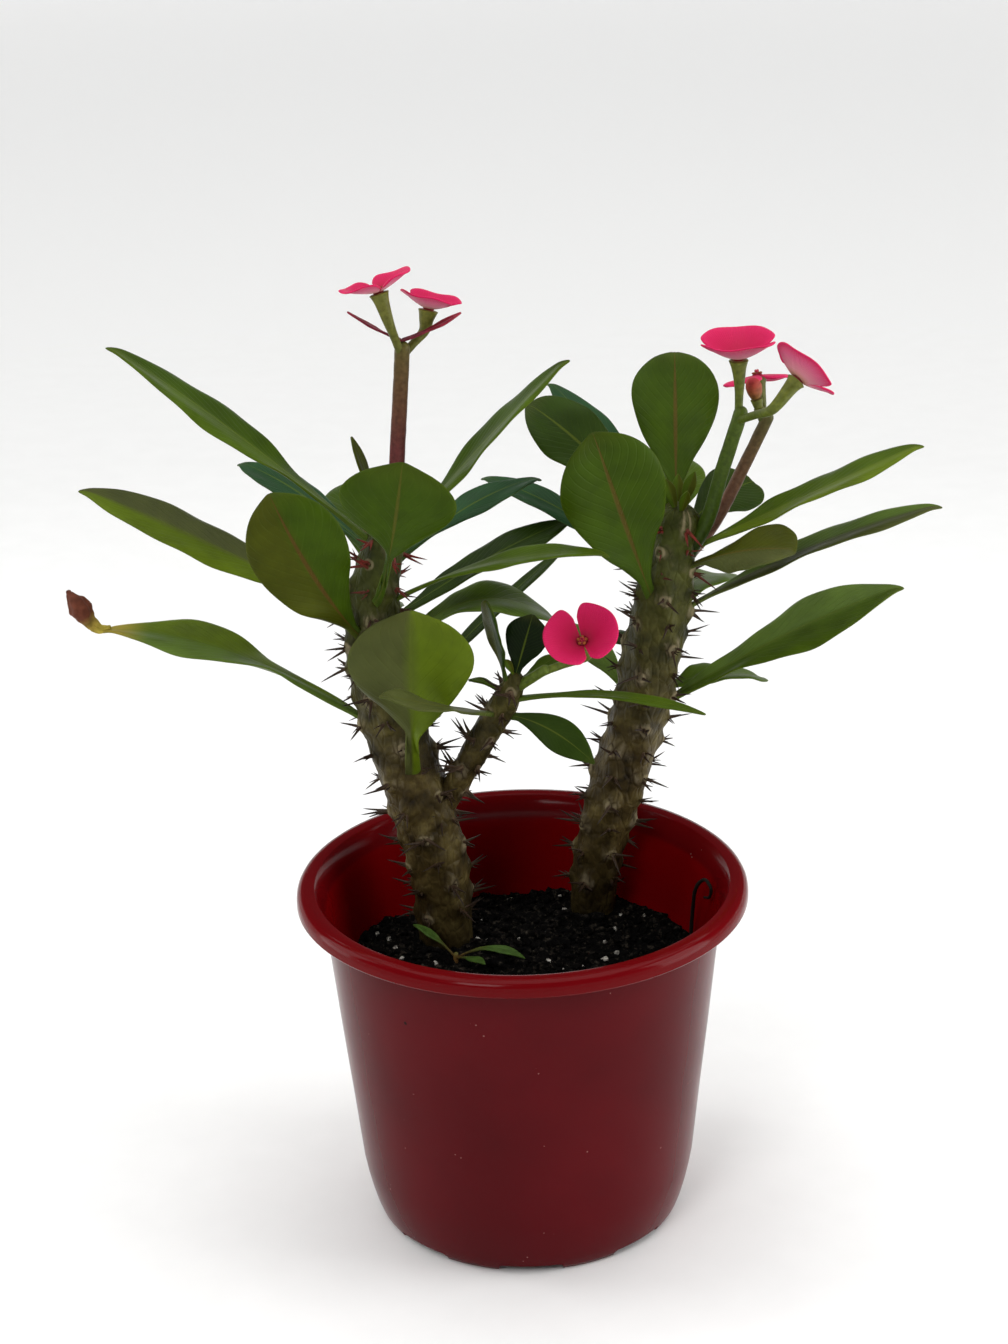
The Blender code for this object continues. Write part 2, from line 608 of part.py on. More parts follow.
def make_blooms(paint, bud_paint):
    """Each bloom, and the bud, on its cup."""
    made = []
    for stalk in STALKS:
        for cup in stalk.cups:
            if cup.name.startswith("bloom"):
                item = bpy.data.objects.new(cup.name, bloom_mesh(cup.name, cup.radius, cup.rise, paint))
                bpy.context.scene.collection.objects.link(item)
            else:
                points, faces = turn(BUD_PROFILE, 10)
                item = new_object(cup.name, points, faces, bud_paint)
            item.matrix_world = facing_matrix(cup)
            made.append(item)
    return made


def make_spines(stem, knots, shyness, seed):
    """Grows spines from the knobs of a stem, leaving out those that would meet a leaf."""
    draw = random.Random(seed)
    spines = []
    for centre, ray, along, radius in knob_places(knots):
        side = along.cross(ray)
        for number in range(draw.choice((2, 2, 3))):
            spread = draw.uniform(-0.75, 0.75) + (0.35 if number % 2 else -0.35)
            tilt = draw.uniform(-0.45, 0.65)
            way = (ray + side * spread + along * tilt).normalized()
            length = draw.uniform(*SPINE_LENGTH) * (0.6 + 0.4 * min(1.0, radius / 9))
            foot = centre + ray * (radius + 0.4) + side * spread * 1.2 + along * draw.uniform(-0.8, 0.8)
            turned = draw.uniform(0, math.tau)
            samples = [foot + way * length * part / 5 for part in range(6)]
            if any(shyness.find_nearest(place * MM)[3] < SPINE_CLEARANCE * MM for place in samples):
                continue
            across = way.orthogonal().normalized() * SPINE_FOOT_RADIUS
            other = way.cross(across)
            points = [foot + way * length]
            for corner in range(3):
                angle = turned + math.tau * corner / 3
                points.append(foot - way * SPINE_ROOT + across * math.cos(angle) + other * math.sin(angle))
            faces = [(0, 1, 2), (0, 2, 3), (0, 3, 1), (3, 2, 1)]
            spines.append(new_object("spine", points, faces, stem.data.materials[0]))
    combine(stem, spines, "UNION")
    remove_objects(spines)


def tree_of(objects):
    """A search tree over the world surfaces of some objects."""
    points, faces = [], []
    for made in objects:
        start = len(points)
        points += [made.matrix_world @ vertex.co for vertex in made.data.vertices]
        faces += [[start + index for index in polygon.vertices] for polygon in made.data.polygons]
    return BVHTree.FromPolygons(points, faces)


def make_seedling(paint):
    """A small seedling: a thin stem with three narrow leaves."""
    line = [Vector(place) for place in SEEDLING_STEM]
    points, faces = tube(smooth_line(line, 3), [SEEDLING_RADIUS] * 4, 6)
    seedling = new_object("seedling", points, faces, paint, line[0])
    leaves = []
    for tip, width, arch in SEEDLING_LEAVES:
        root = line[-1] - Vector((0, 0, 1.2))
        points, faces = blade(root, Vector(tip), (arch, 0), UP, width, 0.6, (0.45, 0.9),
                              SMALL_BLADE_STEPS)
        leaves.append(new_object("seedling_leaf", points, faces, paint))
    combine(seedling, leaves, "UNION")
    remove_objects(leaves)
    return seedling


def make_tendril(paint):
    """A dry curled tendril standing in the soil by the back wall."""
    line = smooth_line(TENDRIL_PATH, 22)
    points, faces = tube(line, [TENDRIL_RADIUS * (1 - 0.35 * step / 22) for step in range(23)], 6)
    return new_object("dry_tendril", points, faces, paint, line[0])


def cut_soil(soil, cutters):
    """Plain holes in the soil for what stands in it."""
    holes = []
    for path, radius in ((SEEDLING_STEM, SEEDLING_RADIUS), (TENDRIL_PATH[:4], TENDRIL_RADIUS)):
        line = smooth_line(path, 6)
        line[0] = line[0] - Vector((0, 0, GAP))
        points, faces = tube(line, [radius + GAP] * 7, 8)
        holes.append(make_cutter(new_object("hole", points, faces, soil.data.materials[0])))
    combine(soil, cutters + holes, "DIFFERENCE")
    remove_objects(holes)


def main():
    for old in list(bpy.data.objects):
        bpy.data.objects.remove(old)

    pot_paint = material("red_pot", (0.30, 0.012, 0.02), 0.25)
    soil_paint = material("soil", (0.02, 0.017, 0.015), 0.95)
    bark = material("stem_bark", (0.06, 0.055, 0.025), 0.7)
    leaf_paint = material("leaf", (0.07, 0.16, 0.02), 0.45)
    stalk_paint = material("stalk", (0.12, 0.11, 0.04), 0.5)
    petal_paint = material("petal", (0.70, 0.02, 0.12), 0.5)
    bud_paint = material("bud", (0.25, 0.06, 0.03), 0.5)
    dry_paint = material("dried_leaf", (0.25, 0.10, 0.05), 0.8)
    tendril_paint = material("dry_tendril", (0.03, 0.02, 0.018), 0.7)
    seedling_paint = material("seedling", (0.07, 0.13, 0.03), 0.5)

    pot = make_pot(pot_paint)
    soil = make_soil(soil_paint)
    stems = {"left": LEFT_STEM, "right": RIGHT_STEM, "branch": SIDE_BRANCH}
    sides = {"left": STEM_SIDES, "right": STEM_SIDES, "branch": BRANCH_SIDES}
    cutters = {name: make_cutter(make_stem("seat_" + name, stems[name], sides[name], bark, GAP))
               for name in stems}

    leaves = [make_leaf(row, stems, leaf_paint) for row in LEAVES]
    stalks = [make_stalk(row, stalk_paint) for row in STALKS]
    blooms = make_blooms(petal_paint, bud_paint)
    others = [make_dried_end(dry_paint), make_seedling(seedling_paint), make_tendril(tendril_paint)]
    bpy.context.view_layer.update()
    shyness = tree_of(leaves + stalks + blooms + others + [pot, soil])

    for row, made in zip(LEAVES + STALKS, leaves + stalks):
        seats = [cutters["right"]] if row.stem == "right" else [cutters["left"], cutters["branch"]]
        combine(made, seats, "DIFFERENCE")
    cut_soil(soil, [cutters["left"], cutters["right"]])
    remove_objects(cutters.values())

    left = make_stem("stem_left", LEFT_STEM, STEM_SIDES, bark)
    branch = make_stem("branch", SIDE_BRANCH, BRANCH_SIDES, bark)
    combine(left, [branch], "UNION")
    remove_objects([branch])
    make_spines(left, LEFT_STEM, shyness, SPINE_SEED)
    make_spines(left, SIDE_BRANCH, shyness, SPINE_SEED + 1)
    right = make_stem("stem_right", RIGHT_STEM, STEM_SIDES, bark)
    make_spines(right, RIGHT_STEM, shyness, SPINE_SEED + 2)


main()
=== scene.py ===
"""Looks of a crown of thorns plant in its red nursery pot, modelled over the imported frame.

The tables and formulas count in millimetres, like a maker's drawing, unless they say metres. The
pot is turned and cut, the other pieces are grids that are wrapped round their own forms, closed
and finished with modifiers. Each main piece stands for the CAD node of the same part. Spines,
crumbs and grains are too many to copy one by one, so each kind is one mesh listed by rule.
"""

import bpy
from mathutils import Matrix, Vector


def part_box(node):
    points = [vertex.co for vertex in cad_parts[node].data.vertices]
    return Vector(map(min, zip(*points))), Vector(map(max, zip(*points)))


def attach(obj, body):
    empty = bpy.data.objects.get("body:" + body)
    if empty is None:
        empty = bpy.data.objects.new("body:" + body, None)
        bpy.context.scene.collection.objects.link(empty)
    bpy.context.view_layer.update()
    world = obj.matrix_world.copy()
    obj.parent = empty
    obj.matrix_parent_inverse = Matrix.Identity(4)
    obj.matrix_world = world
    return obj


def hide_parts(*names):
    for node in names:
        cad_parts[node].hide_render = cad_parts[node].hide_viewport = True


bl_info = {
    "name": "Crown of thorns in a red pot",
    "version": (1, 0, 0),
    "blender": (4, 5, 0),
    "location": "View3D > Sidebar > Plant",
    "description": "Models a potted crown of thorns plant, piece by piece",
    "category": "Add Mesh",
}

import math
import random
from collections import namedtuple
from functools import partial

import bpy
from bpy.props import FloatProperty, FloatVectorProperty, IntProperty, PointerProperty
from mathutils import Matrix, Vector, noise
from mathutils.bvhtree import BVHTree

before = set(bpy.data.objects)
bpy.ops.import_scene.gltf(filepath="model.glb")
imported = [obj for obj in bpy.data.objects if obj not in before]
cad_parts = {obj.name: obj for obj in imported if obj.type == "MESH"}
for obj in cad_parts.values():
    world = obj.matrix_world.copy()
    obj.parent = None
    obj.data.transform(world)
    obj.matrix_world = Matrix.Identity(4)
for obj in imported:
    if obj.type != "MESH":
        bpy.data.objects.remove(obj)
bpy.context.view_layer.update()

MM = 0.001
GOLDEN_ANGLE = math.radians(137.5)
UP = (0, 0, 1)
TILTED = (0, -0.18, 1)
LEANING = (0, -0.36, 1)
FRONT = (0, -1, 0.4)

# Metres within which the points of a sheet and of the pot are merged, and the share by which the
# panel's sizes may differ from the outline before the pot is stretched
SHEET_WELD = 0.000004
POT_WELD = 0.00001
SIZE_TOLERANCE = 0.001

# Camera of the photograph, in metres and degrees
CAMERA_PLACE = (0.0, -0.837, 0.514)
CAMERA_TURN = (-21.7, -0.27, -1.46)

# Stage, in metres. Each lamp: its place, width and height, the setting it follows and its share of it
FLOOR_SIZE = 8.0
BACKDROP_RADIUS = 3.95
BACKDROP_HEIGHT = 0.9
LAMP_AIM = (0, 0, 0.12)
LAMPS = [("overhead_light", (0.0, 0.3, 1.9), (2.6, 2.6), "sky_power", 1.0),
         ("key_light", (-0.5, -1.1, 1.1), (0.5, 0.5), "key_power", 1.0),
         ("left_strip", (-0.8, 0.15, 0.35), (0.35, 0.9), "strip_power", 0.5),
         ("right_strip", (0.85, -0.12, 0.35), (0.5, 0.9), "strip_power", 1.0)]

# Pot: outline of its outside from the foot up and over the lip, then down its inside
POT_OUTSIDE = [(46.5, 0.0), (47.3, 0.5), (48.4, 2.2), (49.5, 5.2), (50.8, 10.0), (51.9, 15.0), (52.7, 19.5),
               (55.2, 43.0), (57.8, 66.0), (60.1, 88.0), (61.6, 101.0), (61.9, 104.0), (62.3, 106.2), (63.3, 108.4),
               (64.9, 109.7), (66.8, 110.0), (68.0, 109.7), (68.6, 108.8), (68.8, 107.4), (69.0, 107.0),
               (69.7, 106.9), (70.0, 107.3), (70.0, 108.6), (69.8, 110.0), (69.2, 111.1), (68.3, 111.8),
               (67.0, 112.0), (65.4, 112.0), (64.4, 111.8)]
POT_INSIDE = [(63.7, 111.1), (62.7, 109.4), (61.7, 107.0), (61.0, 104.2), (60.7, 102.0), (58.8, 84.0), (56.4, 64.0),
              (53.6, 39.0), (51.5, 19.5), (50.6, 13.5), (49.2, 8.8), (47.6, 4.6), (45.6, 1.6)]
POT_SIDES = 160
POT_MOUTH_RADIUS = 61.9
DRAIN_COUNT = 8
DRAIN_SIZE = (14.0, 20.0, 5.2)
DRAIN_REACH = 48.0
DRAIN_ROUNDING = 1.2

# Soil: its height, and its lumps and crumbs, each layer with its rise, width and noise level
SOIL_EDGE_HEIGHT = 80.5
SOIL_BACK_DROP = 2.2
SOIL_MOUND = 2.4
MOUND_SPREAD = 520.0
STEM_FEET = [(-24, 21), (23, 40)]
SOIL_LUMPS = ((1.6, 14.0, 3.0), (0.8, 5.5, 9.0))
SOIL_CRUMBS = ((1.1, 2.6, 5.0), (0.6, 1.2, 7.0))
# Underside and wall of the soil as radius and height, then the rows and the reach of its top
SOIL_WALL = [(2.0, 1.9), (45.3, 1.9), (48.9, 8.8), (51.2, 19.5)]
WALL_SLOPE = 0.1115
SOIL_TOP_ROWS = 56
SOIL_TOP_RADIUS = 58.0
SCATTER_RADIUS = 57.0
STEM_CLEARANCE = 9.4
CRUMB_SEED = 7
GRAIN_SEED = 11

# Stems: centreline and radius at each point
LEFT_STEM = [
    ((-24.5, 21.5, 62), 9.2), ((-24.7, 21, 80), 9.2), ((-25.2, 20, 94), 9.4), ((-26.4, 19.5, 108), 9.7),
    ((-29, 18.5, 122), 10.1), ((-33, 17.5, 137), 10.2), ((-37.2, 17, 152), 10.1),
    ((-40.5, 16, 166), 9.8), ((-43, 15, 178), 9.3), ((-44, 14.5, 190), 8.8),
    ((-42.6, 13.5, 203), 8.0), ((-39.9, 13, 215), 6.8), ((-38, 12, 223), 5.3)]
RIGHT_STEM = [
    ((22.8, 41, 62), 8.0), ((23, 40.5, 81), 8.0), ((24.2, 39, 97), 8.1), ((27, 38.5, 112), 8.4),
    ((31, 37.5, 126), 9.2), ((35.2, 37, 140), 9.1), ((38.9, 36, 154), 9.0),
    ((41.7, 35, 168), 9.5), ((44.4, 34.5, 182), 9.4), ((46.4, 33.5, 195), 8.9),
    ((48.6, 33, 207), 8.2), ((50.6, 32, 217), 7.0)]
SIDE_BRANCH = [
    ((-29, 18, 124), 4.6), ((-25, 18, 129), 4.8), ((-21, 17, 135), 4.7), ((-16.5, 14.5, 144), 4.7),
    ((-11.5, 12, 153.5), 5.0), ((-6.5, 10, 163), 5.1), ((-2.5, 7.5, 171), 4.6),
    ((-0.5, 6, 176), 3.2)]
STEMS = {"left": LEFT_STEM, "right": RIGHT_STEM, "branch": SIDE_BRANCH}
# Sides and steps of each stem's grid, and the rows that round off the end of every tube
STEM_GRIDS = {"left": (72, 170), "right": (76, 165), "branch": (44, 66)}
ROUND_ROWS = 5

# Knobs and skin: the relief is read at one radius on every stem, and nothing grows on the bare
# foot. The skin is young above one height and turns old over a length below it.
KNOB_PITCH = 3.5
KNOB_RISE = 2.1
LESSER_RISE = 1.5
KNOB_SPREAD = 2.3
KNOB_STRETCH = 0.7
RELIEF_RADIUS = 9.0
GROOVE_DEPTH = 0.7
SCAR_SPREAD = 4.2
BARE_FOOT = 88.0
YOUNG_SKIN_HEIGHT = 212
AGEING_LENGTH = 70

# Spines: rings of one thorn as share of its length and of its width, then the rounds of spines
# that each stem gets, as seed, share of the width, share of the length and shift along the spiral
SPINE_LENGTH = (5.0, 10.5)
SPINE_CLEARANCE = 1.5
SPINE_SIDES = 6
SPINE_RINGS = ((0.0, 1.5), (0.12, 0.95), (0.5, 0.62), (0.85, 0.3))
SPINE_ROUNDS = ((41, 1.0, 1.0, 0.0), (51, 0.85, 0.75, 0.5), (61, 0.6, 0.45, 0.0), (64, 0.6, 0.45, 0.5))
SPINE_GROUPS = {"left_spines": (("left", 0), ("branch", 1)), "right_spines": (("right", 2),)}
SPINE_NEIGHBOURS = ("leaf_", "stalk_", "bloom_", "bud_", "seedling", "dry_", "dried_")
YOUNG_SPINE_HEIGHT = 196
SPINE_AGEING_LENGTH = 18

# Leaves: half width along the blade as a share of the full half width
BLADE_OUTLINE = [
    (0.0, 0.0), (0.16, 0.02), (0.34, 0.33), (0.52, 0.74), (0.68, 0.98), (0.80, 0.98), (0.90, 0.76),
    (0.965, 0.44), (1.0, 0.04)]
SLENDER_OUTLINE = [
    (0.0, 0.0), (0.16, 0.11), (0.34, 0.45), (0.50, 0.80), (0.64, 0.98), (0.76, 0.90), (0.87, 0.60),
    (0.95, 0.27), (1.0, 0.02)]
SLENDER_RATIO = 2.9
PETIOLE_HALF_WIDTH = 1.4
BLADE_STEPS = 240
LEAF_SWELL = 1.9
THIN_SHARE = 0.1
FOLD = 0.16
EDGE_CURL = 0.35
EDGE_WAVE = 0.05
RIPPLE = 0.012
WAVY_LEAVES = {"leaf_l_low_left": 0.09, "leaf_l_front_left": 0.08, "leaf_l_big_front": 0.08}
TIP_HOOK = 1.1
SMALL_LEAF_WIDTH = 12
BROAD_PETIOLES = {
    "leaf_l_big_front": 2.5, "leaf_r_front": 1.9, "leaf_r_upright": 1.7, "leaf_l_front_left": 1.8}

# Each leaf: its stem, the height of its root there, its tip, its width, how far its midline
# arches up and leans to the front, the way that its broad side looks, the colours of its two
# halves, painted lighter and darker for how the light falls on either side of its fold, the red of its
# midrib from 0 to 1, and the bare share of it
Leaf = namedtuple("Leaf", "name stem height tip width arch lean face left right rib bare", defaults=(0.0,))
LEAVES = [
    Leaf("leaf_l_up_left", "left", 216, (-119, 20, 280), 25, 2, 0, UP, "middle", "deep", 0.1),
    Leaf("leaf_l_mid_left", "left", 192, (-130, 16, 237), 25, 1, 0, TILTED, "sunlit", "grey_sheen", 0.2),
    Leaf("leaf_l_front_left", "left", 184, (-71, -9, 242), 29, -3, 6, FRONT, "olive", "deep", 0.9),
    Leaf("leaf_l_top_front", "left", 198, (-31, -30, 257), 34, -7, 7, FRONT, "deep", "deep", 0.5, 0.48),
    Leaf("leaf_l_up_right", "left", 211, (17, 8, 276), 22, 2, 0, (0, -0.08, 1), "deep", "middle", 0.1),
    Leaf("leaf_l_back_left", "left", 212, (-86, 57, 231), 16, 4, 0, UP, "blue_sheen", "blue_sheen", 0.0),
    Leaf("leaf_l_right_high", "left", 206, (9, 50, 226), 15, 5, 0, UP, "blue_sheen", "blue_sheen", 0.1),
    Leaf("leaf_l_right_mid", "left", 196, (28, -9, 221), 16, 6, 0, UP, "middle", "middle", 0.1),
    Leaf("leaf_l_right_dark", "left", 188, (19, 56, 210), 19, 3, 0, UP, "shaded", "shaded", 0.1),
    Leaf("leaf_l_arch", "left", 176, (14, 52, 176), 24, 15, 0, TILTED, "middle", "soft", 0.1),
    Leaf("leaf_l_edge_on", "left", 160, (17.5, 85, 191), 9, 2, 0, (0, 0.3, 1), "shaded", "shaded", 0.1),
    Leaf("leaf_l_big_front", "left", 138, (-31.3, -4, 202.8), 38, -8, 9, FRONT, "grey_sheen", "sunlit", 0.15, 0.36),
    Leaf("leaf_l_low_left", "left", 151, (-127, 15, 192), 26, 9, 0, UP, "soft", "sunlit", 0.0),
    Leaf("leaf_l_sprout", "left", 221, (-48, 20, 250), 6, 1, 0, (1, -0.5, 0.3), "olive", "olive", 0.1),
    Leaf("leaf_b_left", "branch", 163, (-40, -31, 187), 15, 2, 7, TILTED, "grey_sheen", "grey_sheen", 0.4),
    Leaf("leaf_b_up", "branch", 171, (-8.6, 0, 204), 12, 0, 0, (-1, -0.5, 0), "olive", "shaded", 0.1),
    Leaf("leaf_b_round", "branch", 173, (5, 2, 198), 13, 0, 0, FRONT, "darkest_shade", "darkest_shade", 0.1),
    Leaf("leaf_b_small", "branch", 172, (14, 17, 179), 8, 1, 0, UP, "middle", "middle", 0.1),
    Leaf("leaf_b_long", "branch", 168, (56, -16, 172), 8, 4, 0, UP, "middle", "middle", 0.1),
    Leaf("leaf_b_droop", "branch", 163, (23, 0, 150), 11, 4, 0, FRONT, "shaded", "shaded", 0.2),
    Leaf("leaf_b_tiny", "branch", 169, (-15, 16, 172), 4, 2, 0, UP, "middle", "middle", 0.1),
    Leaf("leaf_r_upright", "right", 214, (52, 74, 259), 27.5, 0, 0, (0, -1, 0.5), "deep", "deep", 0.8),
    Leaf("leaf_r_front", "right", 184, (24, 4, 254), 32, 0, 4, (0.1, -1, 0.3), "deep", "deep", 0.8),
    Leaf("leaf_r_dark_back", "right", 208, (5, 46, 251), 26, 4, 0, LEANING, "shaded", "shaded", 0.2),
    Leaf("leaf_r_blue_back", "right", 211, (12, 77, 249), 15, 3, 0, UP, "blue_sheen", "blue_sheen", 0.0),
    Leaf("leaf_r_long_left", "right", 196, (-10, 71, 220), 16, 4, 0, UP, "blue_sheen", "blue_sheen", 0.0),
    Leaf("leaf_r_right_high", "right", 204, (125, 31, 240), 24, 0, 0, UP, "middle", "sunlit", 0.1),
    Leaf("leaf_r_right_mid", "right", 182, (131, 29, 221), 21, 4, 0, UP, "soft", "grey_sheen", 0.2),
    Leaf("leaf_r_right_low", "right", 149, (121, 37, 192), 27, 3, 0, TILTED, "soft", "middle", 0.1),
    Leaf("leaf_r_low_back", "right", 155, (80, 64, 151), 20, 5, 0, UP, "middle", "middle", 0.0),
    Leaf("leaf_r_round_back", "right", 210, (77, 65, 218), 19, 3, 0, (0, -0.8, 1), "shaded", "shaded", 0.1),
    Leaf("leaf_r_front_right", "right", 198, (84, 7, 215), 24, 3, 0, LEANING, "olive", "grey_sheen", 0.6),
    Leaf("leaf_r_low_left", "right", 152, (13.6, 78, 167), 14, 4, 0, UP, "soft", "soft", 0.0),
    Leaf("leaf_r_tuck", "right", 170, (26, 50, 172), 12, 3, 0, UP, "shaded", "shaded", 0.1),
    Leaf("leaf_l_behind_high", "left", 203, (-52, 86, 214), 24, 5, 0, UP, "deep", "middle", 0.3),
    Leaf("leaf_l_behind_low", "left", 172, (-50, 84, 172), 24, 8, 0, UP, "middle", "middle", 0.2),
    Leaf("leaf_r_behind_high", "right", 200, (52, 112, 212), 25, 6, 0, UP, "deep", "middle", 0.3),
    Leaf("leaf_r_behind_low", "right", 176, (70, 104, 172), 24, 8, 0, UP, "middle", "middle", 0.2)]

# Greens of the leaves, by how the light and their age leave them: light and shade are painted in, as lit
# and shaded greens of one leaf colour, the darkest green is painted shade, and the bluish and greyish greens
# are a painted sheen
LEAF_GREENS = {
    "deep": "344806", "olive": "3d4208", "middle": "42560e", "sunlit": "566812", "soft": "566c2a",
    "shaded": "283a0a", "darkest_shade": "101d08", "blue_sheen": "274628", "grey_sheen": "474c26"}

# Young leaves that crowd the growing tip of each stem: stem, foot, tip and width
YOUNG_LEAVES = [
    ("left", (-38.2, 12, 223), (-41.5, 7.5, 237), 4.4), ("left", (-38, 12, 223), (-33, 15, 236), 4.0),
    ("left", (-38, 12, 223), (-36.5, 5, 232), 3.2), ("left", (-38, 12, 223), (-44, 15, 231), 3.4),
    ("right", (50.6, 31, 217), (46.5, 27, 232), 4.2), ("right", (50.8, 33, 217), (56, 37, 231), 4.0),
    ("right", (50.6, 30.5, 217), (53, 24, 229), 3.4), ("right", (50, 33, 217), (44.5, 35, 228), 3.6),
    ("right", (50.6, 34, 217), (51, 41, 229), 3.8), ("branch", (-0.5, 6, 176), (-3.6, 2.5, 184), 2.6),
    ("branch", (-0.5, 6, 176), (1.2, 9.5, 184), 2.4)]

# Withered end of the low left leaf, from that leaf's tip
DRIED_LEAF = "leaf_l_low_left"
DRIED_PATH = [((4.0, 0.1, 0.4), 0.8), ((0.8, 0, 0.2), 1.3), ((-2.4, -0.4, 3.0), 2.0), ((-4.4, -1.0, 6.6), 3.3),
              ((-6.2, -0.6, 9.6), 2.4), ((-8.2, 0.6, 12.0), 0.7)]
DRIED_START = (-127.55, 14.9, 192.15)

# Flower stalks: the stalk, then its cups, each with the direction that its bloom faces
Cup = namedtuple("Cup", "name place facing spin radius rise")
Stalk = namedtuple("Stalk", "name stem path radius colours cups bracts")
STALKS = [
    Stalk("stalk_left", "left", [(-38.2, 12, 219), (-35.2, 12, 235), (-33.2, 12, 257), (-31.4, 12, 279)], 2.5,
          ("5a2428", "5e2e2c", "505020"),
          [Cup("bloom_left_a", (-37.4, 8, 296.6), (-0.3, 0.12, 1), 0.3, 11.0, 4.0),
           Cup("bloom_left_b", (-23.6, 18, 288.6), (0.24, 0.15, 1), 1.1, 9.6, 4.5)],
          [(-47.0, 9, 291.2), (-13.8, 15, 288.6)]),
    Stalk("stalk_right_front", "right", [(53.6, 31.4, 206), (59.5, 30, 218), (63.9, 29, 234), (69.3, 28, 252)],
          2.4, ("2c3c10", "34460f", "465618"),
          [Cup("bloom_right_a", (68.6, 29, 268.0), (-0.04, -0.02, 1), 1.5, 12.6, 7.0),
           Cup("bloom_right_b", (84.4, 14, 265.6), (0.66, 0.36, 0.66), 1.3, 11.7, 5.0)], []),
    Stalk("stalk_right_back", "right", [(53.2, 36.4, 203), (62.2, 38, 214), (70.6, 39.5, 230), (78.6, 42, 246)],
          2.1, ("7e5a4c", "6e4e3c", "3c4618"),
          [Cup("bloom_right_c", (77.0, 60, 253.5), (-0.12, 0.3, 1), 0.2, 11.0, -1.5),
           Cup("bud_right", (75.2, 42.5, 251.8), (-0.25, 0, 1), 0.0, 2.6, 0.0)], []),
    Stalk("stalk_branch", "branch", [(-0.6, 6.4, 173), (3.6, 4, 176.6), (8.4, 1, 181)], 1.7,
          ("4c5a20", "526222", "5a6a28"),
          [Cup("bloom_branch", (19.8, -6, 192.0), (-0.12, -0.6, 0.78), 0.25, 11.4, 5.5)], [])]
CUP_RADIUS = 3.0
PEDICEL_RADIUS = 1.25
NOTCH_DEPTH = 0.42
NOTCH_WIDTH = 0.17
CUP_GAP = 0.3
PETAL_HALF_TURN = math.radians(86)
PETAL_START = 1.6
PETAL_ROLL = 0.54
BUD_PROFILE = [(0.0, 0.0), (1.6, 0.1), (2.3, 1.8), (2.6, 3.8), (2.1, 5.6), (1.1, 6.5), (0.0, 6.7)]
# In metres: how high over its heart the petals of a cupped bloom look, and two thin sheets
FOCUS_HEIGHT = 0.03
BRACT_THICKNESS = 0.0006
SEEDLING_THICKNESS = 0.0005

# Seedling in front of the left stem, and a dry tendril by the wall
SEEDLING_STEM = [(-21.5, 2.0, 73.0), (-21.5, 2.0, 81.0), (-21.3, 2.0, 85.0)]
SEEDLING_LEAVES = [((-34.5, 3.5, 95.0), 5.0, 1.5), ((0.5, -4.0, 86.0), 5.0, 3.5), ((-12.0, -12.0, 88.5), 4.0, 1.0)]
TENDRIL_PATH = [(53.0, 17.0, 72.0), (53.4, 17.0, 82.0), (53.9, 14.5, 93.0), (54.6, 10.5, 102.0), (57.0, 7.0, 106.6),
                (58.9, 4.5, 104.8), (58.6, 6.0, 101.0), (57.2, 8.4, 99.8)]


def linear(code):
    """An sRGB hex colour as linear red, green and blue."""
    parts = [int(code[start:start + 2], 16) / 255 for start in (0, 2, 4)]
    return tuple(part / 12.92 if part < 0.04045 else ((part + 0.055) / 1.055) ** 2.4 for part in parts)


def clamp(value):
    """A value held between 0 and 1."""
    return min(1.0, max(0.0, value))


def blend(first, second, share):
    """Each number of the first list, brought by a share towards that of the second."""
    return tuple(a + (b - a) * share for a, b in zip(first, second))


def mixed(first, second, share):
    """A linear colour between two hex colours."""
    return blend(linear(first), linear(second), share)


def fill_inputs(tree, node, values):
    """Gives a node's inputs their values and links.

    A text is an sRGB hex colour, and a node stands for its first output in use.
    """
    for key, value in values.items():
        if isinstance(value, str):
            value = (*linear(value), 1.0)
        if isinstance(value, bpy.types.Node):
            value = next(socket for socket in value.outputs if socket.enabled)
        if isinstance(value, bpy.types.NodeSocket):
            tree.links.new(value, node.inputs[key])
        else:
            node.inputs[key].default_value = value


def add_node(tree, kind, inputs=(), ramp=(), **settings):
    """Adds a node with its settings, its ramp stops, and its inputs as a list or by key."""
    made = tree.nodes.new("ShaderNode" + kind)
    for key, value in settings.items():
        setattr(made, key, value)
    if ramp:
        stops = made.color_ramp.elements
        while len(stops) < len(ramp):
            stops.new(0.5)
        for stop, (place, colour) in zip(stops, ramp):
            stop.position = place
            stop.color = (*(linear(colour) if isinstance(colour, str) else colour), 1.0)
    fill_inputs(tree, made, inputs if isinstance(inputs, dict) else dict(enumerate(inputs)))
    return made


def new_material(name):
    """A material, the way to add a node to it, and the way to fill its shader's inputs."""
    made = bpy.data.materials.new(name)
    made.use_nodes = True
    tree = made.node_tree
    return made, partial(add_node, tree), partial(fill_inputs, tree, tree.nodes["Principled BSDF"])


def spotted(add, place, ground, scale, size, patch_scale, patch_level, code):
    """Sparse spots of a colour over a ground colour, only where a broad noise is high."""
    spots = add("TexVoronoi", {"Vector": place, "Scale": scale})
    patches = add("TexNoise", {"Vector": place, "Scale": patch_scale, "Detail": 1.0})
    near = add("Math", [spots, size], operation="LESS_THAN")
    sparse = add("Math", [patches, patch_level], operation="GREATER_THAN")
    mask = add("Math", [near, sparse], operation="MULTIPLY")
    return add("Mix", {0: mask, 6: ground, 7: code}, data_type="RGBA")


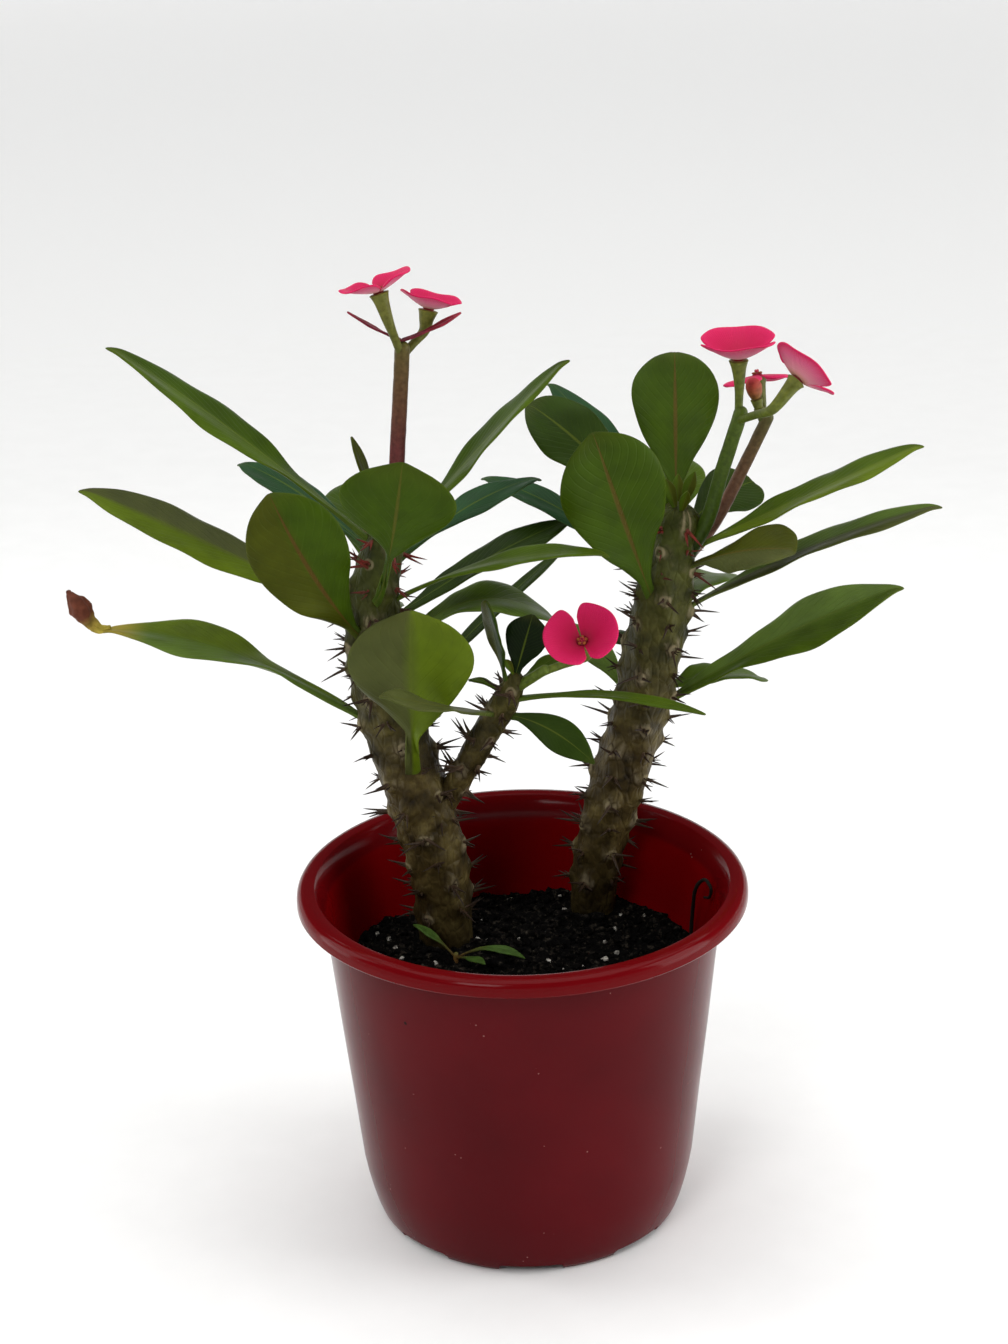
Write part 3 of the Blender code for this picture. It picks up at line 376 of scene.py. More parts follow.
def pot_polypropylene(colours):
    """Injection moulded polypropylene: dyed through, glossy, with a little dust and dirt."""
    made, add, fill = new_material("moulded_polypropylene")
    place = add("TexCoord").outputs["Object"]
    height = add("SeparateXYZ", [place]).outputs["Z"]
    # Painted reflection: the lip is painted a brighter red and the body below it a deeper red, for how
    # reflections fall on them, and the body is faintly clouded
    lip = add("MapRange", [height, 0.1045, 0.1068, 0.0, 1.0])
    haze = add("TexNoise", {"Vector": place, "Scale": 22.0, "Detail": 3.0})
    cloudy = tuple(part * 1.35 for part in colours.pot_body)
    body = add("ValToRGB", [haze], ramp=[(0.35, colours.pot_body), (0.75, cloudy)])
    red = add("Mix", {0: lip, 6: body, 7: (*colours.lip_red_and_reflection, 1.0)}, data_type="RGBA")
    # Painted light: the inside stays in shade, so it is painted a clearer red that stands in for light there:
    # where the radius is under that of the sloping wall's middle, from 30 mm up to the lip
    across = add("VectorMath", [place, (1.0, 1.0, 0.0)], operation="MULTIPLY")
    reach = add("VectorMath", [across], operation="LENGTH")
    slope = add("Math", [height, 0.109], operation="MULTIPLY")
    wall = add("Math", [reach, slope], operation="SUBTRACT")
    inside = add("MapRange", [wall, 0.0500, 0.0496, 0.0, 1.0])
    low = add("MapRange", [height, 0.1075, 0.1045, 0.0, 1.0])
    high = add("MapRange", [height, 0.030, 0.040, 0.0, 1.0])
    upper = add("Math", [low, high], operation="MULTIPLY")
    deep = add("Math", [inside, upper], operation="MULTIPLY")
    inside_painted_light = add("Mix", {0: deep, 6: red, 7: "780206"}, data_type="RGBA")
    # Dust specks about 0.5 mm across, sparse and pale, then dark crumbs of soil about 1 mm across
    dusty = spotted(add, place, inside_painted_light, 380.0, 0.10, 70.0, 0.66, "8a5a56")
    final = spotted(add, place, dusty, 150.0, 0.10, 40.0, 0.68, "1c0606")
    # Faint rubbed patches of 10 to 30 mm dull the gloss
    rubbed = add("TexNoise", {"Vector": place, "Scale": 60.0, "Detail": 5.0})
    rough = add("MapRange", [rubbed, 0.35, 0.75, 0.20, 0.26])
    gloss = add("MapRange", [lip, 0.0, 1.0, 1.0, 0.6])
    polished = add("Math", [rough, gloss], operation="MULTIPLY")
    flow = add("TexNoise", {"Vector": place, "Scale": 35.0, "Detail": 1.0})
    bump = add("Bump", {"Height": flow, "Strength": 0.05, "Distance": 0.001})
    fill({"Base Color": final, "Roughness": polished, "Normal": bump, "IOR": 1.49, "Specular IOR Level": 0.08})
    return made


def potting_mix(colours):
    """Damp peat based potting mix: almost black, crumbly, and without shine."""
    made, add, fill = new_material("damp_potting_mix")
    place = add("TexCoord").outputs["Object"]
    crumbs = add("TexNoise", {"Vector": place, "Scale": 420.0, "Detail": 6.0, "Roughness": 0.7})
    # Painted shade and highlight: the colour follows the bump's noise, near black in hollows, pale on crumb tops
    shade = add("ValToRGB", [crumbs], ramp=[(0.35, "040303"), (0.55, colours.soil), (0.74, "4a433a")])
    grit = add("TexVoronoi", {"Vector": place, "Scale": 700.0})
    height = add("Math", [crumbs, grit], operation="ADD")
    bump = add("Bump", {"Height": height, "Strength": 0.9, "Distance": 0.0012})
    fill({"Base Color": shade, "Normal": bump, "Roughness": 0.92, "Specular IOR Level": 0.05})
    return made


def expanded_perlite():
    """Expanded perlite: brittle white volcanic foam, dusted with soil."""
    made, add, fill = new_material("expanded_perlite")
    place = add("TexCoord").outputs["Object"]
    foam = add("TexNoise", {"Vector": place, "Scale": 900.0, "Detail": 3.0})
    shade = add("ValToRGB", [foam], ramp=[(0.38, "45413a"), (0.62, "bdb9af")])
    bump = add("Bump", {"Height": foam, "Strength": 0.6, "Distance": 0.0004})
    fill({"Base Color": shade, "Normal": bump, "Roughness": 0.8})
    return made


def succulent_bark(colours):
    """Skin of a succulent stem: olive brown, split into grey cork, with pale rimmed leaf scars."""
    made, add, fill = new_material("corky_stem_skin")
    place = add("TexCoord").outputs["Object"]
    knob = add("Attribute", attribute_name="knob").outputs["Fac"]
    age = add("Attribute", attribute_name="age").outputs["Fac"]
    mottle = add("TexNoise", {"Vector": place, "Scale": 130.0, "Detail": 6.0, "Roughness": 0.6})
    old_skin = add("ValToRGB", [mottle], ramp=[(0.30, "1b1409"), (0.52, colours.bark), (0.72, "665a33")])
    young_skin = add("ValToRGB", [mottle], ramp=[(0.3, "24280a"), (0.7, "444a18")])
    skin = add("Mix", {0: age, 6: young_skin, 7: old_skin}, data_type="RGBA")
    # Cork gathers round the knobs and splits lengthwise in flakes 2 to 5 mm wide, twice as long
    long_way = add("Mapping", {0: place, 3: (1.0, 1.0, 0.5)})
    cracks = add("TexVoronoi", {"Vector": long_way, "Scale": 360.0}, feature="DISTANCE_TO_EDGE")
    strips = add("TexNoise", {"Vector": long_way, "Scale": 120.0, "Detail": 7.0, "Roughness": 0.7})
    near_knob = add("Math", [knob, 0.30], operation="MULTIPLY")
    corky = add("Math", [strips, near_knob], operation="ADD")
    cork = add("ValToRGB", [corky], ramp=[(0.66, "000000"), (0.80, "ffffff")])
    half_age = add("MapRange", [age, 0.0, 0.5, 0.25, 0.8])
    old_cork = add("Math", [cork, half_age], operation="MULTIPLY")
    grey = add("ValToRGB", [cracks], ramp=[(0.0, "2a2115"), (0.12, "665c46"), (0.5, "8e846c")])
    barked = add("Mix", {0: old_cork, 6: skin, 7: grey}, data_type="RGBA")
    # The scar of a fallen leaf is a dark eye about 3 mm across in a pale rim, worn away on some knobs
    worn = add("TexNoise", {"Vector": place, "Scale": 210.0, "Detail": 4.0})
    kept = add("MapRange", [worn, 0.38, 0.55, 0.0, 0.6])
    ring = add("ValToRGB", [knob], ramp=[(0.78, "000000"), (0.86, "ffffff"), (0.91, "ffffff"), (0.95, "000000")])
    scar = add("Math", [ring, kept], operation="MULTIPLY")
    scarred = add("Mix", {0: scar, 6: barked, 7: "8c8062"}, data_type="RGBA")
    # The skin is darker towards the foot of each stem, below 106 mm
    height = add("SeparateXYZ", [place]).outputs["Z"]
    foot_darkening = add("MapRange", [height, 0.074, 0.106, 0.35, 1.0])
    darkened = add("VectorMath", {0: scarred, "Scale": foot_darkening}, operation="SCALE")
    rough = add("MapRange", [old_cork, 0.0, 0.8, 0.5, 0.85])
    split = add("MapRange", [cracks, 0.0, 0.2, 0.0, 0.5])
    relief = add("Math", [corky, split], operation="ADD")
    bump = add("Bump", {"Height": relief, "Strength": 0.55, "Distance": 0.0010})
    fill({"Base Color": darkened, "Roughness": rough, "Normal": bump, "Specular IOR Level": 0.12})
    return made


def horny_spine():
    """Spines: hard, dark brown, paler at the base, and red while they are young."""
    made, add, fill = new_material("horny_spine")
    along = add("Attribute", attribute_name="along").outputs["Fac"]
    young = add("Attribute", attribute_name="young").outputs["Fac"]
    old = add("ValToRGB", [along], ramp=[(0.0, "5c4c38"), (0.3, "3a2a1c"), (1.0, "1c1410")])
    fresh = add("ValToRGB", [along], ramp=[(0.0, "50281a"), (0.5, "6e2019"), (1.0, "3a120e")])
    shade = add("Mix", {0: young, 6: old, 7: fresh}, data_type="RGBA")
    fill({"Base Color": shade, "Roughness": 0.55, "Specular IOR Level": 0.2})
    return made


def spurge_leaf():
    """Fleshy spurge leaf: satin, a sunken midrib, faint side veins, a pale edge, greyer beneath."""
    made, add, fill = new_material("spurge_leaf")
    place = add("TexCoord").outputs["Object"]
    flat = add("SeparateXYZ", [add("UVMap", uv_map="UVMap")])
    across, along = flat.outputs["X"], flat.outputs["Y"]
    tint = add("Attribute", attribute_name="tint").outputs["Color"]
    rib = add("Attribute", attribute_name="rib").outputs["Fac"]
    under = add("Attribute", attribute_name="under").outputs["Fac"]
    centred = add("Math", [across, 0.5], operation="SUBTRACT")
    off = add("Math", [centred], operation="ABSOLUTE")
    # Clouding of the green, in patches 4 to 12 mm wide
    clouds = add("TexNoise", {"Vector": place, "Scale": 95.0, "Detail": 4.0})
    light = add("MapRange", [clouds, 0.3, 0.75, 0.78, 1.22])
    green = add("VectorMath", {0: tint, "Scale": light}, operation="SCALE")
    # Side veins leave the midrib every 3 to 4 mm and run forward to the edge
    climb = add("Math", [off, 0.55], operation="MULTIPLY")
    forward = add("Math", [along, climb], operation="SUBTRACT")
    turns = add("Math", [forward, 118.0], operation="MULTIPLY")
    wave = add("Math", [turns], operation="SINE")
    veins = add("MapRange", [wave, 0.72, 1.0, 0.0, 1.0])
    faint = add("Math", [veins, 0.04], operation="MULTIPLY")
    veined = add("Mix", {0: faint, 6: green, 7: "5f7628"}, data_type="RGBA")
    # The midrib is 2 mm wide at the foot and thins out to the tip
    narrow = add("MapRange", [along, 0.2, 0.95, 0.045, 0.010])
    beside = add("Math", [off, narrow], operation="DIVIDE")
    on_rib = add("MapRange", [beside, 1.3, 0.6, 0.0, 1.0])
    rib_colour = add("Mix", {0: rib, 6: "52661c", 7: "562e18"}, data_type="RGBA")
    rib_mask = add("Math", [on_rib, 0.65], operation="MULTIPLY")
    ribbed = add("Mix", {0: rib_mask, 6: veined, 7: rib_colour}, data_type="RGBA")
    edge = add("MapRange", [off, 0.475, 0.5, 0.0, 0.25])
    edged = add("Mix", {0: edge, 6: ribbed, 7: "545e18"}, data_type="RGBA")
    # The underside is greyer and duller
    dull = add("Math", [under, 0.2], operation="MULTIPLY")
    final = add("Mix", {0: dull, 6: edged, 7: "4e5c30"}, data_type="RGBA")
    satin = add("MapRange", [clouds, 0.3, 0.7, 0.36, 0.52])
    # Pores stand out a little, and the midrib and the veins are sunken
    pores = add("TexNoise", {"Vector": place, "Scale": 1400.0, "Detail": 2.0})
    fine = add("Math", [pores, 0.25], operation="MULTIPLY")
    ribs = add("Math", [on_rib, veins], operation="ADD")
    height = add("Math", [fine, ribs], operation="SUBTRACT")
    bump = add("Bump", {"Height": height, "Strength": 0.35, "Distance": 0.0003})
    fill({"Base Color": final, "Roughness": satin, "Normal": bump, "IOR": 1.42, "Specular IOR Level": 0.09})
    return made


def flower_petal(colours):
    """Petal like bracts: velvety hot pink above, paler beneath, with fine veins that fan from the eye."""
    made, add, fill = new_material("velvety_petal")
    flat = add("SeparateXYZ", [add("UVMap", uv_map="UVMap")])
    across, along = flat.outputs["X"], flat.outputs["Y"]
    under = add("Attribute", attribute_name="under").outputs["Fac"]
    above = add("ValToRGB", [along], ramp=[(0.0, "8c0f2c"), (0.3, colours.petal), (1.0, "cc1c58")])
    beneath = add("ValToRGB", [along],
                  ramp=[(0.0, "ac8060"), (0.3, "c4808a"), (0.7, "c4587a"), (0.98, "c41c52")])
    pink = add("Mix", {0: under, 6: above, 7: beneath}, data_type="RGBA")
    fan = add("Math", [across, 260.0], operation="MULTIPLY")
    wave = add("Math", [fan], operation="SINE")
    vein = add("MapRange", [wave, 0.2, 1.0, 0.0, 0.16])
    veined = add("Mix", {0: vein, 6: pink, 7: "a80c3c"}, data_type="RGBA")
    bump = add("Bump", {"Height": wave, "Strength": 0.25, "Distance": 0.0002})
    fill({"Base Color": veined, "Normal": bump, "Roughness": 0.5, "Subsurface Weight": 0.12,
          "Subsurface Radius": (0.004, 0.001, 0.0015), "Specular IOR Level": 0.12})
    return made


def tinted_tissue(name, streak_scale, roughness):
    """Soft plant tissue whose colour is painted along each piece, lightly streaked."""
    made, add, fill = new_material(name)
    place = add("TexCoord").outputs["Object"]
    tint = add("Attribute", attribute_name="tint").outputs["Color"]
    streaks = add("TexNoise", {"Vector": place, "Scale": streak_scale, "Detail": 4.0})
    light = add("MapRange", [streaks, 0.3, 0.75, 0.7, 1.35])
    shade = add("VectorMath", {0: tint, "Scale": light}, operation="SCALE")
    bump = add("Bump", {"Height": streaks, "Strength": 0.3, "Distance": 0.0003})
    fill({"Base Color": shade, "Normal": bump, "Roughness": roughness, "Specular IOR Level": 0.15})
    return made


def studio_paper():
    """Seamless paper under and far behind the plant: matt, nearly white, with a faint tooth."""
    made, add, fill = new_material("studio_paper")
    place = add("TexCoord").outputs["Object"]
    tooth = add("TexNoise", {"Vector": place, "Scale": 60.0, "Detail": 2.0})
    shade = add("ValToRGB", [tooth], ramp=[(0.3, "f6f6f5"), (0.7, "f8f8f7")])
    # The lamps fade with distance, so the far paper glows a little to stay as pale as the near paper
    level = add("VectorMath", [place, (1.0, 1.0, 0.0)], operation="MULTIPLY")
    reach = add("VectorMath", [level], operation="LENGTH")
    glow = add("MapRange", [reach, 0.8, 2.8, 0.0, 0.5])
    fill({"Base Color": shade, "Emission Color": (1.0, 1.0, 1.0, 1.0), "Emission Strength": glow, "Roughness": 0.9})
    return made


def select(*pieces):
    """Leaves edit mode and selects these objects alone, with the first of them active."""
    if bpy.context.object and bpy.context.object.mode != "OBJECT":
        bpy.ops.object.mode_set(mode="OBJECT")
    bpy.ops.object.select_all(action="DESELECT")
    for piece in pieces:
        piece.select_set(True)
    if pieces:
        bpy.context.view_layer.objects.active = pieces[0]


def edit_whole(operator, **settings):
    """Runs an edit mode operator on the whole active mesh."""
    bpy.ops.object.mode_set(mode="EDIT")
    bpy.ops.mesh.select_all(action="SELECT")
    operator(**settings)
    bpy.ops.object.mode_set(mode="OBJECT")


def wrap_sheet(name, columns, rows, place, tags):
    """A grid primitive bent round a form: place gives the spot in mm for shares across and along.

    Points that meet are merged, so a sheet can close into a tube and run into its poles. tags
    names attributes with the function that gives their value from the same two shares.
    """
    select()
    bpy.ops.mesh.primitive_grid_add(x_subdivisions=columns, y_subdivisions=rows, size=1.0)
    made = bpy.context.object
    made.name = name
    mesh = made.data
    shares = [(vertex.co.x + 0.5, vertex.co.y + 0.5) for vertex in mesh.vertices]
    for attribute, value_at in tags.items():
        values = [value_at(across, along) for across, along in shares]
        if isinstance(values[0], float):
            mesh.attributes.new(attribute, "FLOAT", "POINT").data.foreach_set("value", values)
        else:
            layer = mesh.attributes.new(attribute, "FLOAT_COLOR", "POINT")
            layer.data.foreach_set("color", [part for value in values for part in (*value, 1.0)])
    for vertex, (across, along) in zip(mesh.vertices, shares):
        vertex.co = Vector(place(across, along)) * MM
    edit_whole(bpy.ops.mesh.remove_doubles, threshold=SHEET_WELD)
    return made


def face_outwards(made):
    """Turns the faces of a closed piece outwards."""
    select(made)
    edit_whole(bpy.ops.mesh.normals_make_consistent, inside=False)


def apply_modifier(made, kind, **settings):
    """Adds a modifier and applies it."""
    select(made)
    modifier = made.modifiers.new(kind.title(), kind)
    for key, value in settings.items():
        setattr(modifier, key, value)
    bpy.ops.object.modifier_apply(modifier=modifier.name)


def thicken_sheet(made, thickness):
    """Gives a thin sheet its thickness and rounds its edges."""
    apply_modifier(made, "SOLIDIFY", thickness=thickness, offset=0.0)
    apply_modifier(made, "SUBSURF", levels=1, render_levels=1)
    face_outwards(made)


def join_pieces(pieces, name):
    """Joins objects into the first of them."""
    select(*pieces)
    if len(pieces) > 1:
        bpy.ops.object.join()
    pieces[0].name = name
    return pieces[0]


def listed_mesh(name, points, faces):
    """An object from listed corners and faces, for shapes too many to copy one by one."""
    mesh = bpy.data.meshes.new(name)
    mesh.from_pydata(points, [], faces)
    made = bpy.data.objects.new(name, mesh)
    bpy.context.scene.collection.objects.link(made)
    return made


def dress(made, paint, nodes, angle):
    """Shades a finished piece, gives it its material, and lets it stand for its CAD nodes."""
    select(made)
    bpy.ops.object.shade_smooth_by_angle(angle=math.radians(angle))
    made.data.materials.append(paint)
    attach(made, "root")
    if nodes:
        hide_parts(*nodes)


def row_at(rows, share):
    """The row of numbers at a share of a list, with straight steps from row to row."""
    spot = share * (len(rows) - 1)
    index = min(int(spot), len(rows) - 2)
    return blend(rows[index], rows[index + 1], spot - index)


def spline(knots, share):
    """Point and radius on a smooth curve through the knots, share from 0 to 1."""
    place = share * (len(knots) - 1)
    index = min(int(place), len(knots) - 2)
    part = place - index
    rows = []
    for step in (-1, 0, 1, 2):
        spot, radius = knots[max(0, min(len(knots) - 1, index + step))]
        rows.append((*spot, radius))
    values = [0.5 * (2 * b + (c - a) * part + (2 * a - 5 * b + 4 * c - d) * part ** 2
                     + (3 * b - a - 3 * c + d) * part ** 3) for a, b, c, d in zip(*rows)]
    return Vector(values[:3]), values[3]


def spline_where(knots, axis, level, rounds):
    """Point and radius where a curve reaches a level on one axis, found by halving."""
    low, high = 0.0, 1.0
    for _ in range(rounds):
        middle = (low + high) / 2
        if spline(knots, middle)[0][axis] < level:
            low = middle
        else:
            high = middle
    return spline(knots, (low + high) / 2)


def knob_places(knots, shift=0.0):
    """Centre, direction, axis and radius at each knob of a stem, on the golden angle spiral.

    A shift of 0.5 gives the lesser knobs halfway between the main ones.
    """
    length = (Vector(knots[-1][0]) - Vector(knots[0][0])).length
    count = int(length / KNOB_PITCH)
    places = []
    for number in range(count):
        centre, radius = spline(knots, (number + 0.5 + shift) / count)
        along = (spline(knots, (number + 0.9 + shift) / count)[0] - centre).normalized()
        if centre.z < BARE_FOOT:
            continue
        angle = (number + shift) * GOLDEN_ANGLE
        flat = Vector((math.cos(angle), math.sin(angle), 0))
        ray = (flat - along * flat.dot(along)).normalized()
        places.append((centre, ray, along, radius))
    return places


class Rail:
    """A smooth path with a steady frame along it, for tubes."""

    def __init__(self, knots, steps):
        self.steps = steps
        self.centres, self.radii = zip(*(spline(knots, step / steps) for step in range(steps + 1)))
        self.sides, self.others = [], []
        side = (self.centres[1] - self.centres[0]).orthogonal().normalized()
        for step in range(steps + 1):
            ahead = self.centres[min(step + 1, steps)] - self.centres[max(step - 1, 0)]
            ahead.normalize()
            side = (side - ahead * side.dot(ahead)).normalized()
            self.sides.append(side.copy())
            self.others.append(ahead.cross(side))

    def ray(self, step, across):
        """Direction out of the path at a step, for a share of the way round."""
        angle = math.tau * across
        return self.sides[step] * math.cos(angle) + self.others[step] * math.sin(angle)


def no_relief(centre, ray, share):
    """Relief of a smooth tube."""
    return 0.0


def tube(name, knots, sides, steps, tags, relief=no_relief, blunt=1.0):
    """A closed tube along a path, with a rounded end, and with relief added to its radius."""
    rail = Rail(knots, steps)
    rows = steps + ROUND_ROWS + 1

    def place(across, along):
        row = round(along * rows)
        if row == 0:
            return rail.centres[0]
        step = min(row - 1, steps)
        centre, radius, ray = rail.centres[step], rail.radii[step], rail.ray(step, across)
        reach = radius + relief(centre, ray, step / steps)
        if row - 1 <= steps:
            return centre + ray * reach
        angle = (row - 1 - steps) / ROUND_ROWS * math.pi / 2
        ahead = (centre - rail.centres[steps - 1]).normalized()
        return centre + ray * reach * math.cos(angle) + ahead * radius * blunt * math.sin(angle)

    made = wrap_sheet(name, sides, rows, place, tags)
    face_outwards(made)
    return made


def even_knots(places, radii, count):
    """Knots for a tube from a few places, with the radius read from a short list."""
    line = [(tuple(place), 0.0) for place in places]
    listed = [(radius,) for radius in radii]
    return [(tuple(spline(line, step / count)[0]), row_at(listed, step / count)[0]) for step in range(count + 1)]


class PlantSizes(bpy.types.PropertyGroup):
    """Sizes that a user would change."""

    pot_height: FloatProperty(name="Pot height", description="Height of the pot over its lip",
                              default=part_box("pot")[1].z, unit="LENGTH")
    lip_radius: FloatProperty(name="Lip radius", description="Outer radius of the pot's lip",
                              default=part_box("pot")[1].x, unit="LENGTH")
    leaf_thickness: FloatProperty(name="Leaf thickness", description="Thickness of a leaf at its midrib",
                                  default=0.0009, unit="LENGTH")
    petal_thickness: FloatProperty(name="Petal thickness", description="Thickness of a petal",
                                   default=0.0006, unit="LENGTH")
    spine_radius: FloatProperty(name="Spine radius", description="Radius of a spine at its foot",
                                default=0.00062, unit="LENGTH")
    crumb_count: IntProperty(name="Crumbs", description="Loose crumbs on the soil", default=2200, min=0)
    grain_count: IntProperty(name="Perlite grains", description="White grains on the soil", default=150, min=0)


class PlantColours(bpy.types.PropertyGroup):
    """Colours that a user would change."""

    pot_body: FloatVectorProperty(name="Pot body", description="Red of the pot's wall", subtype="COLOR",
                                  default=linear("4a060c"))
    # Painted reflection: the lip's red is brighter than the body's, for how reflections fall on the lip
    lip_red_and_reflection: FloatVectorProperty(name="Pot lip", description="Red of the pot's lip", subtype="COLOR",
                                 default=linear("60050a"))
    soil: FloatVectorProperty(name="Soil", description="Colour of the damp soil", subtype="COLOR",
                              default=linear("0a0908"))
    bark: FloatVectorProperty(name="Bark", description="Main colour of the old stems", subtype="COLOR",
                              default=linear("43381c"))
    petal: FloatVectorProperty(name="Petal", description="Pink of the petals", subtype="COLOR",
                               default=linear("b40e43"))


class StageSettings(bpy.types.PropertyGroup):
    """Camera and light."""

    lens: FloatProperty(name="Lens", description="Focal length in millimetres", default=80.0)
    sky_power: FloatProperty(name="Overhead light", description="Power of the broad overhead light",
                             default=41.0, unit="POWER")
    key_power: FloatProperty(name="Key light", description="Power of the front light", default=6.5, unit="POWER")
    strip_power: FloatProperty(name="Side strips", description="Power of the tall side lights", default=6.0,
                               unit="POWER")
    world_strength: FloatProperty(name="Surroundings", description="Strength of the grey surroundings",
                                  default=0.09)


def raise_wall(points):
    """Extrudes the selected ring of vertices from point to point of a turned outline."""
    for (radius, height), (next_radius, next_height) in zip(points, points[1:]):
        bpy.ops.mesh.extrude_region_move(
            TRANSFORM_OT_translate={"value": (0, 0, (next_height - height) * MM)})
        bpy.ops.transform.resize(value=(next_radius / radius, next_radius / radius, 1.0))


class PLANT_OT_pot(bpy.types.Operator):
    """Turns the pot from its foot up, over the lip and down inside, and cuts the drain notches"""

    bl_idname = "plant.make_pot"
    bl_label = "Pot"

    def execute(self, context):
        sizes = context.scene.plant_sizes
        outline = POT_OUTSIDE + POT_INSIDE
        select()
        bpy.ops.mesh.primitive_circle_add(vertices=POT_SIDES, radius=outline[0][0] * MM, fill_type="NGON")
        pot = bpy.context.object
        pot.name = "moulded_pot"
        bpy.ops.object.mode_set(mode="EDIT")
        bpy.ops.mesh.select_mode(type="VERT")
        bpy.ops.mesh.select_all(action="SELECT")
        bpy.ops.mesh.extrude_edges_move(TRANSFORM_OT_translate={"value": (0, 0, 0)})
        raise_wall(outline)
        bpy.ops.mesh.edge_face_add()
        edit_whole(bpy.ops.mesh.remove_doubles, threshold=POT_WELD)
        face_outwards(pot)
        # The outline holds the pot's own size, so it is only stretched when the panel's sizes differ
        widening = sizes.lip_radius / (max(radius for radius, height in outline) * MM)
        growth = sizes.pot_height / (max(height for radius, height in outline) * MM)
        if abs(growth - 1) > SIZE_TOLERANCE or abs(widening - 1) > SIZE_TOLERANCE:
            pot.scale = (widening, widening, growth)
            bpy.ops.object.transform_apply(location=False, rotation=False, scale=True)
        for number in range(DRAIN_COUNT):
            angle = -math.pi / 2 + math.tau * number / DRAIN_COUNT
            select()
            bpy.ops.mesh.primitive_cube_add(size=1.0)
            notch = bpy.context.object
            notch.dimensions = [side * MM for side in DRAIN_SIZE]
            notch.location = (DRAIN_REACH * MM * math.cos(angle), DRAIN_REACH * MM * math.sin(angle), 0.0)
            notch.rotation_euler.z = angle
            bpy.ops.object.transform_apply(location=True, rotation=True, scale=True)
            apply_modifier(notch, "BEVEL", width=DRAIN_ROUNDING * MM, segments=3)
            apply_modifier(pot, "BOOLEAN", object=notch, operation="DIFFERENCE", solver="EXACT")
            bpy.data.objects.remove(notch)
        dress(pot, pot_polypropylene(context.scene.plant_colours), ["pot"], 32)
        return {"FINISHED"}


def soil_height(x, y):
    """Height of the soil's lumpy top, raised around each stem, with crumbs of 1 to 3 mm."""
    rise = sum(SOIL_MOUND * math.exp(-((x - foot_x) ** 2 + (y - foot_y) ** 2) / MOUND_SPREAD)
               for foot_x, foot_y in STEM_FEET)
    rise -= SOIL_BACK_DROP * max(0.0, y / POT_MOUTH_RADIUS)
    # Each layer of noise has its rise, its width and the level at which it is read, all in mm
    lumps, crumbs = (sum(height * noise.noise(Vector((x, y, level)) / width) for height, width, level in layers)
                     for layers in (SOIL_LUMPS, SOIL_CRUMBS))
    return SOIL_EDGE_HEIGHT + rise + lumps + crumbs


def scatter(name, count, seed, sizes, flatness, detail):
    """Many small angular lumps on the soil, in one mesh."""
    draw = random.Random(seed)
    select()
    bpy.ops.mesh.primitive_ico_sphere_add(subdivisions=detail, radius=1.0)
    lump = bpy.context.object
    corners = [vertex.co.copy() for vertex in lump.data.vertices]
    sides = [tuple(polygon.vertices) for polygon in lump.data.polygons]
    bpy.data.objects.remove(lump)
    points, faces = [], []
    while len(faces) < count * len(sides):
        angle, share = draw.uniform(0, math.tau), math.sqrt(draw.random())
        x, y = SCATTER_RADIUS * share * math.cos(angle), SCATTER_RADIUS * share * math.sin(angle)
        if any(math.hypot(x - foot_x, y - foot_y) < STEM_CLEARANCE for foot_x, foot_y in STEM_FEET):
            continue
        size = draw.uniform(*sizes) * draw.uniform(0.5, 1.0)
        turn = Matrix.Rotation(draw.uniform(0, math.tau), 3, "Z") @ Matrix.Rotation(draw.uniform(-0.6, 0.6), 3, "X")
        stretch = Vector((draw.uniform(0.8, 1.5), draw.uniform(0.7, 1.1), draw.uniform(*flatness)))
        centre = Vector((x, y, soil_height(x, y) + size * 0.2))
        start = len(points)
        for corner in corners:
            spot = Vector(a * b for a, b in zip(corner, stretch)) * size * draw.uniform(0.78, 1.16)
            points.append((centre + turn @ spot) * MM)
        faces += [tuple(start + index for index in side) for side in sides]
    return listed_mesh(name, points, faces)


class PLANT_OT_soil(bpy.types.Operator):
    """Fills the pot with crumbly soil, loose crumbs and white grains"""

    bl_idname = "plant.make_soil"
    bl_label = "Soil"

    def execute(self, context):
        sizes = context.scene.plant_sizes
        wall_rows = len(SOIL_WALL)
        rows = wall_rows + SOIL_TOP_ROWS

        def place(across, along):
            row = round(along * rows)
            turn = math.tau * across
            if row < wall_rows:
                reach, height = SOIL_WALL[row]
            else:
                share = 1 - (row - wall_rows) / SOIL_TOP_ROWS
                reach = SOIL_TOP_RADIUS * share
                height = soil_height(reach * math.cos(turn), reach * math.sin(turn))
                if share == 1:
                    wall_radius, wall_top = SOIL_WALL[-1]
                    reach = wall_radius + WALL_SLOPE * (height - wall_top)
            return reach * math.cos(turn), reach * math.sin(turn), height

        soil = wrap_sheet("potting_soil", 180, rows, place, {})
        face_outwards(soil)
        paint = potting_mix(context.scene.plant_colours)
        dress(soil, paint, ["soil"], 60)
        crumbs = scatter("soil_crumbs", sizes.crumb_count, CRUMB_SEED, (0.6, 2.8), (0.5, 0.9), 1)
        dress(crumbs, paint, [], 20)
        grains = scatter("perlite_grains", sizes.grain_count, GRAIN_SEED, (0.25, 1.35), (0.6, 1.0), 2)
        dress(grains, expanded_perlite(), [], 30)
        return {"FINISHED"}


